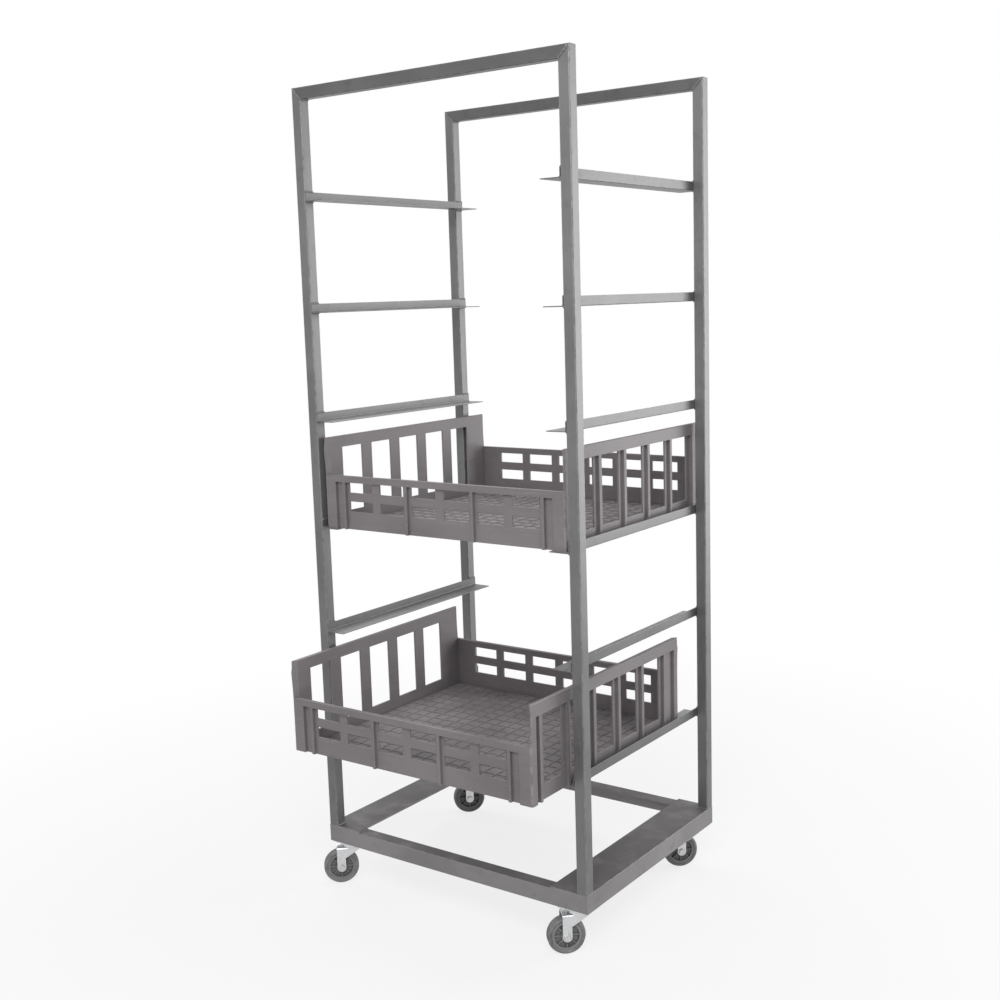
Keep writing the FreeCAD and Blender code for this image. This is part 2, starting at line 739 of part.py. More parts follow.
    def make_hub(self):
        """Moulded wheel centre: boss, web and rim."""
        body = self.wheel_body("wheel_hub")
        boss = hub_bore + d.hub_boss_wall
        rim = wheel_radius - d.tyre_depth - d.seat_fit
        rim_inside = rim - d.hub_rim_depth
        upper = [
            (boss, d.hub_width / 2),
            (boss, d.hub_web / 2),
            (rim_inside, d.hub_web / 2),
            (rim_inside, d.hub_rim_width / 2),
            (rim, d.hub_rim_width / 2),
        ]
        lower = [(x, -y) for x, y in reversed(upper)]
        half = new_sketch(body, "XY_Plane")
        draw_outline(half, [(hub_bore, d.hub_width / 2), *upper, *lower, (hub_bore, -d.hub_width / 2)])
        turn_profile(body, half, "Y_Axis")

    def make_tyre(self):
        """Solid tyre with a crowned tread."""
        body = self.wheel_body("tyre")
        inside = wheel_radius - d.tyre_depth
        upper = [
            (inside, d.hub_rim_width / 2),
            (wheel_radius - d.tyre_flank, d.tyre_width / 2),
            (wheel_radius - d.shoulder_drop, d.shoulder_width / 2),
            (wheel_radius, d.tread_width / 2),
        ]
        lower = [(x, -y) for x, y in reversed(upper)]
        half = new_sketch(body, "XY_Plane")
        draw_outline(half, [*upper, *lower])
        turn_profile(body, half, "Y_Axis")


def build_rack():
    """Make every piece of the rack."""
    sides = {"left": -1, "right": 1}
    faces = {"front": -1, "rear": 1}
    for face_name, face in faces.items():
        for side_name, side in sides.items():
            make_post(f"post_{face_name}_{side_name}", side, face)
        make_top_bar(f"top_bar_{face_name}", face)
        make_cross_member(f"base_cross_{face_name}", face)
    for side_name, side in sides.items():
        make_side_rail(f"base_rail_{side_name}", side)
        for level in range(1, RUNNER_LEVELS + 1):
            make_runner(f"runner_{side_name}_{level}", side, level)
    make_corner_pads()
    make_caster_bolts()
    make_caster_nuts()
    make_crate("upper_crate", d.upper_crate_step_count, d.upper_crate_shift)
    make_crate("lower_crate", d.lower_crate_step_count, d.upper_crate_shift - d.lower_crate_draw)
    for face_name, face in faces.items():
        for side_name, side in sides.items():
            Caster(f"{face_name}_{side_name}", side, face).build()


def check_document():
    """Stop if any object failed or any piece has no valid shape."""
    for item in doc.Objects:
        if "Invalid" in item.State or "Error" in item.State:
            raise RuntimeError(f"{item.Label} failed: {item.State}")
    for piece in sub_parts:
        if piece.Shape.isNull() or not piece.Shape.isValid() or not piece.Shape.Solids:
            raise RuntimeError(f"{piece.Label} has no valid solid")


def write_parts():
    """Write each piece to its own file and print what it holds."""
    os.makedirs("parts", exist_ok=True)
    for piece in sub_parts:
        piece.Shape.exportStep(f"parts/{piece.Label}.step")
        print(f"{piece.Label}: {len(piece.Shape.Solids)} solid(s), {piece.Shape.Volume / 1000:.2f} cm3")


build_rack()
doc.recompute()
check_document()
write_parts()
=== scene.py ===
"""Looks of a mobile produce rack: a welded steel frame, moulded crates and zinc-plated swivel casters.

Metres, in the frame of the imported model: the origin is on the floor under the middle of the rack, +Z is
up and the front is at -Y.
"""

import logging
import math
from dataclasses import dataclass, replace
from enum import Enum
from typing import Callable, Iterable, Optional, Sequence, Union

import bmesh
import bpy
from mathutils import Matrix, Vector


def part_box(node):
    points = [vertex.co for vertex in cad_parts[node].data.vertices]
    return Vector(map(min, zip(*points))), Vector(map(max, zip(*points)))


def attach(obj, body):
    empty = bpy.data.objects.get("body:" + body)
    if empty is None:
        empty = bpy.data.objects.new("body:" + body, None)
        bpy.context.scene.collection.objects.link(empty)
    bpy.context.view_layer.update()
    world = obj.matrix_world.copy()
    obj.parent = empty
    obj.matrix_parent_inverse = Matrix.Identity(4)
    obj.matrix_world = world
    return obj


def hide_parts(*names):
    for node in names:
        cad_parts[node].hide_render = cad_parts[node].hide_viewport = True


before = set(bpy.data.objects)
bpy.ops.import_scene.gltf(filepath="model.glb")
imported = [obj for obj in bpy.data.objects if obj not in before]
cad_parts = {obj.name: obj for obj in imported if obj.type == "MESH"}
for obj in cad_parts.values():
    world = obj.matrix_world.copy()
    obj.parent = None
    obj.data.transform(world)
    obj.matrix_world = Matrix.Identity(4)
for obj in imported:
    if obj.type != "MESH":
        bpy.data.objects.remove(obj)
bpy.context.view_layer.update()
LOG = logging.getLogger("produce_rack")

Term = Union[float, "Value"]
Paint = tuple[float, float, float, float]
Triple = tuple[float, float, float]
Seam = tuple[Vector, Vector]

X_AXIS = Vector((1, 0, 0))
Y_AXIS = Vector((0, 1, 0))
Z_AXIS = Vector((0, 0, 1))

# Edges that turn by more than this are real edges: they are rounded and shaded sharp
SHARP_ANGLE = math.radians(30)
# Distance below which two coordinates count as the same
TOUCH = 0.00005
# Length below which an edge is a leftover of rounding and is taken out
SPECK = 0.000001
# Share of a face's normal along an axis from which the face counts as looking that way
FACING = 0.9
# Upward share of the normal from which a face takes the full dust, painted light and painted shade of a level
# one
LEVEL = 0.95
# Facets across a chamfer and across a small rounded edge
CHAMFER_SEGMENTS = 1
EDGE_SEGMENTS = 2
# Sides of a bolt head or nut
HEXAGON = 6
# Face attribute that marks rounded edges, where a finish wears first and the steel also gets a painted
# highlight
WEAR = "wear"


class Grain(Enum):
    """Direction in which a steel bar was drawn, as the stretch of its streaks."""

    ACROSS = (3.0, 90.0, 90.0)
    DEEP = (90.0, 3.0, 90.0)
    UPRIGHT = (90.0, 90.0, 3.0)


class Side(Enum):
    """Left and right of the rack, with the sign of X there."""

    LEFT = ("left", -1)
    RIGHT = ("right", 1)


class End(Enum):
    """Front and rear of the rack, with the sign of Y there."""

    FRONT = ("front", -1)
    REAR = ("rear", 1)


class Affect(Enum):
    """What a bevel rounds."""

    EDGES = "EDGES"
    CORNERS = "VERTICES"


@dataclass(frozen=True)
class Clouds:
    """Cloudy pattern.

    It has scale clouds per metre and detail octaves of finer ones, and stretch is a factor on the scale
    along each axis. Where it is used as a mask, it rises from 0 at low to 1 at high.
    """

    scale: float
    detail: float
    low: float = 0.0
    high: float = 1.0
    stretch: Triple = (1.0, 1.0, 1.0)


class Value:
    """A shader socket that takes part in Python arithmetic."""

    def __init__(self, graph: "Graph", socket: bpy.types.NodeSocket) -> None:
        """Keep the socket and the graph that it belongs to."""
        self.graph = graph
        self.socket = socket

    def _math(self, operation: str, first: Term, second: Term) -> "Value":
        """Add a Math node.

        Args:
            operation: Name of the node's operation.
            first: Left-hand term.
            second: Right-hand term.

        Returns:
            The node's result.
        """
        return self.graph.node("ShaderNodeMath", {"operation": operation}, {0: first, 1: second})

    def __add__(self, other: Term) -> "Value":
        """Sum of two terms."""
        return self._math("ADD", self, other)

    __radd__ = __add__

    def __sub__(self, other: Term) -> "Value":
        """Difference of two terms."""
        return self._math("SUBTRACT", self, other)

    def __rsub__(self, other: Term) -> "Value":
        """Difference with this value on the right."""
        return self._math("SUBTRACT", other, self)

    def __mul__(self, other: Term) -> "Value":
        """Product of two terms."""
        return self._math("MULTIPLY", self, other)

    __rmul__ = __mul__

    def at_most(self, other: Term) -> "Value":
        """Smaller of two terms."""
        return self._math("MINIMUM", self, other)

    def between(self, low: float, high: float) -> "Value":
        """Smooth step.

        Args:
            low: Where the step starts, at 0.
            high: Where the step ends, at 1.

        Returns:
            The stepped value.
        """
        limits = {"Value": self, "From Min": low, "From Max": high}
        return self.graph.node("ShaderNodeMapRange", {"interpolation_type": "SMOOTHSTEP"}, limits)

    def swing(self, amount: float) -> "Value":
        """How far a cloudy value is from its mean of 0.5, times an amount."""
        return (self - 0.5) * amount


class Graph:
    """Node tree of one material or of the world."""

    MIX_FACTOR = 0
    MIX_FIRST_COLOUR = 6
    MIX_SECOND_COLOUR = 7
    MIX_COLOUR_RESULT = 2
    CREVICE_SAMPLES = 8

    def __init__(self, tree: bpy.types.NodeTree) -> None:
        """Start with an empty tree."""
        self.tree = tree
        tree.nodes.clear()

    def node(
        self,
        kind: str,
        settings: dict[str, object],
        inputs: dict[Union[str, int], object],
        output: Union[str, int] = 0,
    ) -> Optional[Value]:
        """Add one node.

        Args:
            kind: Type name of the node.
            settings: Properties of the node, set before its sockets.
            inputs: Values or links by socket name or number.
            output: Name or number of the wanted output.

        Returns:
            The wanted output, or None for a node that has none.
        """
        made = self.tree.nodes.new(kind)
        for name, setting in settings.items():
            setattr(made, name, setting)
        for key, value in inputs.items():
            if isinstance(value, Value):
                self.tree.links.new(value.socket, made.inputs[key])
            else:
                made.inputs[key].default_value = value
        return Value(self, made.outputs[output]) if made.outputs else None

    def noise(self, clouds: Clouds) -> Value:
        """Cloudy pattern on the piece's own coordinates.

        Args:
            clouds: The pattern.

        Returns:
            A value round 0.5.
        """
        place = self.node("ShaderNodeTexCoord", {}, {}, "Object")
        mapped = self.node("ShaderNodeMapping", {}, {"Vector": place, "Scale": clouds.stretch})
        inputs = {"Vector": mapped, "Scale": clouds.scale, "Detail": clouds.detail}
        return self.node("ShaderNodeTexNoise", {}, inputs, "Fac")

    def patches(self, clouds: Clouds) -> Value:
        """Cloudy pattern as a mask from 0 to 1."""
        return self.noise(clouds).between(clouds.low, clouds.high)

    def grains(self, scale: float) -> Value:
        """Pebbled pattern of small cells, as the distance from each cell's middle."""
        place = self.node("ShaderNodeTexCoord", {}, {}, "Object")
        return self.node("ShaderNodeTexVoronoi", {}, {"Vector": place, "Scale": scale}, "Distance")

    def upper_faces(self, start: float) -> Value:
        """Mask of the faces that look up.

        Args:
            start: Upward share of the normal from which the mask rises.

        Returns:
            1 on level faces, 0 on walls and undersides.
        """
        normal = self.node("ShaderNodeNewGeometry", {}, {}, "Normal")
        return self.node("ShaderNodeSeparateXYZ", {}, {"Vector": normal}, "Z").between(start, LEVEL)

    def worn(self) -> Value:
        """1 on rounded edges and 0 elsewhere."""
        return self.node("ShaderNodeAttribute", {"attribute_name": WEAR}, {}, "Fac")

    def crevice(self, distance: float) -> Value:
        """1 deep in the piece's own corners and 0 in the open, judged within a distance in metres."""
        settings = {"only_local": True, "samples": self.CREVICE_SAMPLES}
        return 1 - self.node("ShaderNodeAmbientOcclusion", settings, {"Distance": distance}, "AO")

    def mix(self, factor: Term, first: Union[Paint, Value], second: Union[Paint, Value]) -> Value:
        """Blend two colours.

        Args:
            factor: Share of the second colour.
            first: Colour at 0.
            second: Colour at 1.

        Returns:
            The blended colour.
        """
        inputs = {
            self.MIX_FACTOR: factor,
            self.MIX_FIRST_COLOUR: first,
            self.MIX_SECOND_COLOUR: second,
        }
        return self.node("ShaderNodeMix", {"data_type": "RGBA"}, inputs, self.MIX_COLOUR_RESULT)

    def bump(self, height: Value, strength: float, distance: float) -> Value:
        """Surface relief.

        Args:
            height: Relief from 0 to 1.
            strength: Share of the relief that shows.
            distance: Depth of the relief in metres.

        Returns:
            The bent normal.
        """
        inputs = {"Strength": strength, "Distance": distance, "Height": height}
        return self.node("ShaderNodeBump", {}, inputs, "Normal")


class Tint(Enum):
    """Leaning of a grey, as factors on red, green and blue."""

    NEUTRAL = (1.0, 1.0, 1.0)
    COOL = (0.985, 1.0, 1.02)
    TAUPE = (1.06, 0.97, 1.0)
    WARM = (1.035, 0.985, 1.0)
    # Also the tint of the painted shade in the crates' corners.
    DUST = (1.06, 1.0, 0.93)


def grey(level: float, tint: Tint = Tint.NEUTRAL) -> Paint:
    """Grey paint.

    Args:
        level: Linear brightness.
        tint: Leaning of the grey.

    Returns:
        The colour with full opacity.
    """
    return (*(level * factor for factor in tint.value), 1.0)


@dataclass(frozen=True)
class Finish:
    """A surface finish, made once and shared by all pieces that have it."""

    name: str
    tone: float

    def shade(self, factor: float, tint: Tint = Tint.NEUTRAL) -> Paint:
        """Grey of the finish's tone times a factor."""
        return grey(self.tone * factor, tint)

    def shader(self, graph: Graph) -> Value:
        """Build the finish's shader; each kind of finish has its own.

        Args:
            graph: Node tree of the material.

        Returns:
            The shader.
        """
        raise NotImplementedError

    def material(self) -> bpy.types.Material:
        """The finish as a material, made at its first use.

        Returns:
            The material.
        """
        known = bpy.data.materials.get(self.name)
        if known:
            return known
        made = bpy.data.materials.new(self.name)
        made.use_nodes = True
        graph = Graph(made.node_tree)
        graph.node("ShaderNodeOutputMaterial", {}, {"Surface": self.shader(graph)})
        return made


@dataclass(frozen=True)
class SatinSteel(Finish):
    """Drawn steel with a dull zinc skin: fine streaks along the bar, cloudy patches and bright worn edges,
    which are also a painted highlight.

    Faces that look up are soiled, which on the base is also a painted shade, or lightened where crates slide
    on them, by polish and a painted light from above. A field that ends in shade is a factor on the tone, one
    that ends in share is the most that a layer hides, and one that ends in gloss says how far a layer changes
    the roughness.
    """

    grain: Grain
    tint: Tint = Tint.NEUTRAL
    # Darkening of upper faces: dust, and where it is high, as on the base, a painted shade.
    dust_and_shade: float = 0.3
    # Lightening of upper faces where crates slide: rubbing polish and a painted light from above.
    polish_and_light: float = 0.0
    metallic: float = 0.34
    roughness: float = 0.42
    streaks: Clouds = Clouds(9.0, 3.0)
    clouds: Clouds = Clouds(6.0, 4.0)
    blooms: Clouds = Clouds(38.0, 5.0, 0.56, 0.74)
    dirt: Clouds = Clouds(24.0, 4.0, 0.0, 0.6)
    bright_tracks: Clouds = Clouds(12.0, 4.0, 0.1, 0.7)
    rubbing: Clouds = Clouds(70.0, 3.0, 0.35, 0.6)
    cloud_share: float = 0.68
    cloud_range: tuple[float, float] = (0.3, 0.7)
    top_start: float = 0.5
    dull_shade: float = 0.8
    clean_shade: float = 1.16
    bloom_share: float = 0.35
    bloom_shade: float = 0.62
    darker_top_shade: float = 0.5
    bright_top_shade: float = 3.0
    edge_share: float = 0.5
    edge_shade: float = 1.7
    cloud_gloss: float = 0.22
    streak_gloss: float = 0.16
    soil_gloss: float = 0.12
    polish_gloss: float = 0.1
    streak_relief: float = 0.25
    streak_depth: float = 0.0003

    def along(self, clouds: Clouds) -> Clouds:
        """Pattern drawn out along the bar."""
        return replace(clouds, stretch=self.grain.value)

    def shader(self, graph: Graph) -> Value:
        """Streaked and clouded steel.

        Args:
            graph: Node tree of the material.

        Returns:
            The shader.
        """
        streaks = graph.noise(self.along(self.streaks))
        clouds = graph.noise(self.clouds)
        blooms = graph.patches(self.blooms)
        top = graph.upper_faces(self.top_start)
        # Mask of the darker upper faces: dust, and on the base also a painted shade.
        dust = top * graph.patches(self.dirt)
        # Mask of the lighter upper faces: rubbing polish and a painted light from above.
        track = top * graph.patches(self.along(self.bright_tracks)) * self.polish_and_light
        rubbed = graph.worn() * graph.patches(self.rubbing)
        shade = clouds * self.cloud_share + streaks * (1 - self.cloud_share)
        dull = self.shade(self.dull_shade, self.tint)
        clean = self.shade(self.clean_shade, self.tint)
        colour = graph.mix(shade.between(*self.cloud_range), dull, clean)
        colour = graph.mix(blooms * self.bloom_share, colour, self.shade(self.bloom_shade, Tint.DUST))
        # Upper faces darkened by dust and a painted shade.
        colour = graph.mix(dust * self.dust_and_shade, colour, self.shade(self.darker_top_shade, self.tint))
        # Upper faces lightened by polish and a painted light from above.
        colour = graph.mix(track, colour, self.shade(self.bright_top_shade))
        # Rounded edges lightened: wear, and a painted highlight along the corners.
        colour = graph.mix(rubbed * self.edge_share, colour, self.shade(self.edge_shade))
        rough = self.roughness + clouds.swing(self.cloud_gloss) + streaks.swing(self.streak_gloss)
        inputs = {
            "Base Color": colour,
            "Metallic": self.metallic,
            "Roughness": rough + dust * self.soil_gloss - track * self.polish_gloss,
            "Normal": graph.bump(streaks, self.streak_relief, self.streak_depth),
        }
        return graph.node("ShaderNodeBsdfPrincipled", {}, inputs)


@dataclass(frozen=True)
class WeldMetal(Finish):
    """Weld bead under dull paint: mottled, a little darker than the bars that it joins."""

    metallic: float = 0.2
    roughness: float = 0.36
    mottle: Clouds = Clouds(220.0, 3.0, 0.35, 0.65)
    dark_shade: float = 0.7
    pale_shade: float = 1.25
    mottle_gloss: float = 0.2

    def shader(self, graph: Graph) -> Value:
        """Mottled bead.

        Args:
            graph: Node tree of the material.

        Returns:
            The shader.
        """
        dark = self.shade(self.dark_shade, Tint.DUST)
        inputs = {
            "Base Color": graph.mix(graph.patches(self.mottle), dark, self.shade(self.pale_shade)),
            "Metallic": self.metallic,
            "Roughness": self.roughness + graph.noise(self.mottle) * self.mottle_gloss,
        }
        return graph.node("ShaderNodeBsdfPrincipled", {}, inputs)


@dataclass(frozen=True)
class MouldedPlastic(Finish):
    """Moulded polyethylene with a fine satin skin.

    It has faint fading, hair scratches, dust together with a painted light from above on ledges, a painted
    shade in its corners and rubbed edges. Its fields are named as those of the steel are.
    """

    tint: Tint
    roughness: float = 0.5
    specular: float = 0.42
    pebble: float = 900.0
    pebble_relief: float = 0.25
    pebble_depth: float = 0.0003
    fading: Clouds = Clouds(4.0, 2.0)
    flow: Clouds = Clouds(22.0, 3.0, stretch=(0.4, 0.4, 1.6))
    mottle: Clouds = Clouds(240.0, 3.0)
    scuffs: Clouds = Clouds(16.0, 5.0, 0.62, 0.7, (0.6, 18.0, 24.0))
    scrapes: Clouds = Clouds(13.0, 5.0, 0.62, 0.7, (18.0, 0.6, 24.0))
    dirt: Clouds = Clouds(7.0, 3.0, 0.2, 0.7)
    rubbing: Clouds = Clouds(55.0, 4.0, 0.38, 0.62)
    shade_shares: Triple = (0.5, 0.3, 0.2)
    shade_range: tuple[float, float] = (0.34, 0.66)
    top_start: float = 0.6
    corner_reach: float = 0.02
    corner_range: tuple[float, float] = (0.15, 0.8)
    deep_shade: float = 0.86
    pale_shade: float = 1.12
    scratch_share: float = 0.3
    scratch_shade: float = 1.75
    # Upper faces lightened: dust, and a painted light from above.
    dust_share: float = 0.85
    dust_shade: float = 1.8
    # Painted shade in the piece's own corners and window reveals.
    painted_corner_share: float = 0.6
    painted_corner_shade: float = 0.4
    edge_share: float = 0.5
    edge_shade: float = 1.8
    flow_gloss: float = 0.18
    scratch_gloss: float = 0.1
    dust_gloss: float = 0.2
    edge_gloss: float = 0.1

    def shader(self, graph: Graph) -> Value:
        """Satin plastic with scratches.

        Args:
            graph: Node tree of the material.

        Returns:
            The shader.
        """
        flow = graph.noise(self.flow)
        fading_share, flow_share, mottle_share = self.shade_shares
        shade = graph.noise(self.fading) * fading_share + flow * flow_share
        shade = shade + graph.noise(self.mottle) * mottle_share
        scratches = graph.patches(self.scuffs) + graph.patches(self.scrapes)
        # Mask of the lighter upper faces: dust, and a painted light from above.
        dust = graph.upper_faces(self.top_start) * graph.patches(self.dirt)
        rubbed = graph.worn() * graph.patches(self.rubbing)
        # Painted shade: an occlusion mask darkens the piece's own corners and recesses.
        corner_shade = graph.crevice(self.corner_reach).between(*self.corner_range)
        deep = self.shade(self.deep_shade, self.tint)
        colour = graph.mix(shade.between(*self.shade_range), deep, self.shade(self.pale_shade, self.tint))
        layers = (
            (scratches.at_most(1.0) * self.scratch_share, self.shade(self.scratch_shade, self.tint)),
            # Upper faces lightened by dust and a painted light from above.
            (dust * self.dust_share, self.shade(self.dust_shade, self.tint)),
            # Painted shade in corners.
            (corner_shade * self.painted_corner_share, self.shade(self.painted_corner_shade, Tint.DUST)),
            (rubbed * self.edge_share, self.shade(self.edge_shade, self.tint)),
        )
        for mask, paint in layers:
            colour = graph.mix(mask, colour, paint)
        rough = self.roughness + flow.swing(self.flow_gloss) + scratches * self.scratch_gloss
        inputs = {
            "Base Color": colour,
            "Roughness": rough + dust * self.dust_gloss - rubbed * self.edge_gloss,
            "Specular IOR Level": self.specular,
            "Normal": graph.bump(graph.grains(self.pebble), self.pebble_relief, self.pebble_depth),
        }
        return graph.node("ShaderNodeBsdfPrincipled", {}, inputs)


@dataclass(frozen=True)
class ZincPlate(Finish):
    """Bright zinc plate: a faint crystal pattern, cloudy dulling and a trace of soil."""

    metallic: float = 0.92
    roughness: float = 0.3
    crystal: float = 160.0
    crystal_range: tuple[float, float] = (0.1, 0.8)
    crystal_share: float = 0.35
    crystal_shade: float = 0.8
    clouds: Clouds = Clouds(30.0, 4.0)
    dirt: Clouds = Clouds(80.0, 5.0, 0.58, 0.78)
    dirt_share: float = 0.4
    dirt_shade: float = 0.45
    cloud_gloss: float = 0.25
    dirt_gloss: float = 0.2
    cloud_relief: float = 0.15
    cloud_depth: float = 0.0002

    def shader(self, graph: Graph) -> Value:
        """Bright plate with faint crystals.

        Args:
            graph: Node tree of the material.

        Returns:
            The shader.
        """
        crystals = graph.grains(self.crystal).between(*self.crystal_range)
        clouds = graph.noise(self.clouds)
        dirt = graph.patches(self.dirt)
        bright = self.shade(1.0, Tint.COOL)
        colour = graph.mix(crystals * self.crystal_share, bright, self.shade(self.crystal_shade))
        inputs = {
            "Base Color": graph.mix(dirt * self.dirt_share, colour, self.shade(self.dirt_shade, Tint.DUST)),
            "Metallic": self.metallic,
            "Roughness": self.roughness + clouds.swing(self.cloud_gloss) + dirt * self.dirt_gloss,
            "Normal": graph.bump(clouds, self.cloud_relief, self.cloud_depth),
        }
        return graph.node("ShaderNodeBsdfPrincipled", {}, inputs)


@dataclass(frozen=True)
class SolidRubber(Finish):
    """Solid rubber: dull, dusty and finely grained."""

    roughness: float = 0.68
    clouds: Clouds = Clouds(25.0, 3.0, 0.3, 0.7)
    dirt: Clouds = Clouds(90.0, 5.0, 0.4, 0.75)
    dark_shade: float = 0.8
    pale_shade: float = 1.2
    dust_share: float = 0.4
    dust_shade: float = 2.0
    edge_share: float = 0.3
    edge_shade: float = 1.8
    dust_gloss: float = 0.2
    pebble: float = 1400.0
    pebble_relief: float = 0.3
    pebble_depth: float = 0.0003

    def shader(self, graph: Graph) -> Value:
        """Dusty rubber.

        Args:
            graph: Node tree of the material.

        Returns:
            The shader.
        """
        dust = graph.patches(self.dirt)
        dark = self.shade(self.dark_shade)
        colour = graph.mix(graph.patches(self.clouds), dark, self.shade(self.pale_shade))
        colour = graph.mix(dust * self.dust_share, colour, self.shade(self.dust_shade, Tint.DUST))
        colour = graph.mix(graph.worn() * self.edge_share, colour, self.shade(self.edge_shade))
        inputs = {
            "Base Color": colour,
            "Roughness": self.roughness + dust * self.dust_gloss,
            "Normal": graph.bump(graph.grains(self.pebble), self.pebble_relief, self.pebble_depth),
        }
        return graph.node("ShaderNodeBsdfPrincipled", {}, inputs)


@dataclass(frozen=True)
class PaleFloor(Finish):
    """Plain pale floor that keeps the shadow and fades into the white surround."""

    glow: float
    near: float
    far: float

    def shader(self, graph: Graph) -> Value:
        """Diffuse floor that turns to even white away from the object, for the eye and for reflections.

        Args:
            graph: Node tree of the material.

        Returns:
            The shader.
        """
        diffuse = graph.node("ShaderNodeBsdfDiffuse", {}, {"Color": grey(self.tone)})
        white = graph.node("ShaderNodeEmission", {}, {"Color": grey(1.0), "Strength": 1.0})
        place = graph.node("ShaderNodeTexCoord", {}, {}, "Object")
        reach = graph.node("ShaderNodeVectorMath", {"operation": "LENGTH"}, {0: place}, "Value")
        fade = reach.between(self.near, self.far)
        share = seen_by_eye(graph) * (self.glow + fade * (1.0 - self.glow))
        return graph.node("ShaderNodeMixShader", {}, {0: share, 1: diffuse, 2: white})


def seen_by_eye(graph: Graph) -> Value:
    """Mask of the rays that show a surface directly, in a reflection or through something clear.

    Args:
        graph: Node tree of a material or of the world.

    Returns:
        1 for those rays, else 0.
    """
    camera = graph.node("ShaderNodeLightPath", {}, {}, "Is Camera Ray")
    glossy = graph.node("ShaderNodeLightPath", {}, {}, "Is Glossy Ray")
    clear = graph.node("ShaderNodeLightPath", {}, {}, "Is Transmission Ray")
    return (camera + glossy + clear).at_most(1.0)


POST_STEEL = SatinSteel("satin_steel_upright", 0.155, Grain.UPRIGHT)
TOP_STEEL = SatinSteel("dull_steel_across", 0.1, Grain.ACROSS)
# Runner tops painted lighter: rubbing polish and a painted light from above.
RUNNER_STEEL = SatinSteel("runner_steel_deep", 0.13, Grain.DEEP, dust_and_shade=0.0, polish_and_light=0.7)
# Base tops painted darker: dust and a painted shade.
CROSS_STEEL = SatinSteel("base_steel_across", 0.21, Grain.ACROSS, Tint.WARM, dust_and_shade=0.9, roughness=0.5)
RAIL_STEEL = replace(CROSS_STEEL, name="base_steel_deep", grain=Grain.DEEP)
WELD = WeldMetal("weld_bead", POST_STEEL.tone)
CRATE_PLASTIC = MouldedPlastic("crate_plastic_satin", 0.168, Tint.TAUPE)
HUB_PLASTIC = MouldedPlastic("hub_nylon", 0.2, Tint.NEUTRAL, roughness=0.46)
FORK_ZINC = ZincPlate("fork_zinc", 0.68)
BOLT_ZINC = ZincPlate("bolt_zinc", 0.6, roughness=0.36)
TYRE_RUBBER = SolidRubber("tyre_grey_rubber", 0.165)
FLOOR = PaleFloor("pale_floor", 0.78, glow=0.78, near=0.7, far=2.2)


def round_off(
    bm: bmesh.types.BMesh,
    geometry: Iterable[Union[bmesh.types.BMVert, bmesh.types.BMEdge]],
    radius: float,
    segments: int,
    affect: Affect = Affect.EDGES,
    clamp: bool = True,
) -> list[bmesh.types.BMFace]:
    """Round edges or corners.

    Args:
        bm: Mesh to work on.
        geometry: Edges or corners to round.
        radius: Reach of the rounding on both sides.
        segments: Facets across the rounding.
        affect: Whether edges or corners are rounded.
        clamp: Whether a rounding stops where it meets another.

    Returns:
        The new faces.
    """
    made = bmesh.ops.bevel(
        bm,
        geom=list(geometry),
        offset=radius,
        offset_type="OFFSET",
        affect=affect.value,
        segments=segments,
        profile=0.5,
        material=-1,
        clamp_overlap=clamp,
    )
    return made["faces"]


def soften(
    bm: bmesh.types.BMesh,
    edges: Iterable[bmesh.types.BMEdge],
    radius: float,
    segments: int = EDGE_SEGMENTS,
) -> None:
    """Round edges and mark the new faces as the ones that wear.

    Args:
        bm: Mesh to work on.
        edges: Edges to round.
        radius: Reach of the rounding on both sides of an edge.
        segments: Facets across the rounding.
    """
    wear = bm.faces.layers.float.get(WEAR) or bm.faces.layers.float.new(WEAR)
    for face in round_off(bm, edges, radius, segments):
        face[wear] = 1.0


def sharp_edges(bm: bmesh.types.BMesh) -> list[bmesh.types.BMEdge]:
    """Edges between two faces that turn by more than the sharp angle."""
    return [edge for edge in bm.edges if edge.is_manifold and edge.calc_face_angle() > SHARP_ANGLE]


def edges_along(bm: bmesh.types.BMesh, axis: Vector) -> list[bmesh.types.BMEdge]:
    """Edges that run along an axis."""
    return [e for e in bm.edges if (e.verts[0].co - e.verts[1].co).cross(axis).length < TOUCH]


def new_verts(made: dict[str, list]) -> list[bmesh.types.BMVert]:
    """Corners among what an extrusion made."""
    return [item for item in made["geom"] if isinstance(item, bmesh.types.BMVert)]


def in_scene(name: str, data: bpy.types.ID) -> bpy.types.Object:
    """Put a mesh, lamp or camera into the scene.

    Args:
        name: Name of the object.
        data: What the object shows.

    Returns:
        The object.
    """
    made = bpy.data.objects.new(name, data)
    bpy.context.scene.collection.objects.link(made)
    return made


def box_mesh(low: Vector, high: Vector) -> bmesh.types.BMesh:
    """Block between two corners.

    Args:
        low: Lowest corner.
        high: Highest corner.

    Returns:
        The block.
    """
    bm = bmesh.new()
    bmesh.ops.create_cube(bm, size=1.0)
    bmesh.ops.scale(bm, vec=high - low, verts=bm.verts)
    bmesh.ops.translate(bm, vec=(low + high) / 2, verts=bm.verts)
    return bm


def add_shell(target: bmesh.types.BMesh, shell: bmesh.types.BMesh, place: Matrix = Matrix()) -> None:
    """Move a closed shell into another mesh.

    Args:
        target: Mesh that takes the shell.
        shell: Shell to add; it is used up.
        place: Where the shell goes.
    """
    scratch = bpy.data.meshes.new("shell")
    shell.to_mesh(scratch)
    shell.free()
    scratch.transform(place)
    target.from_mesh(scratch)
    bpy.data.meshes.remove(scratch)


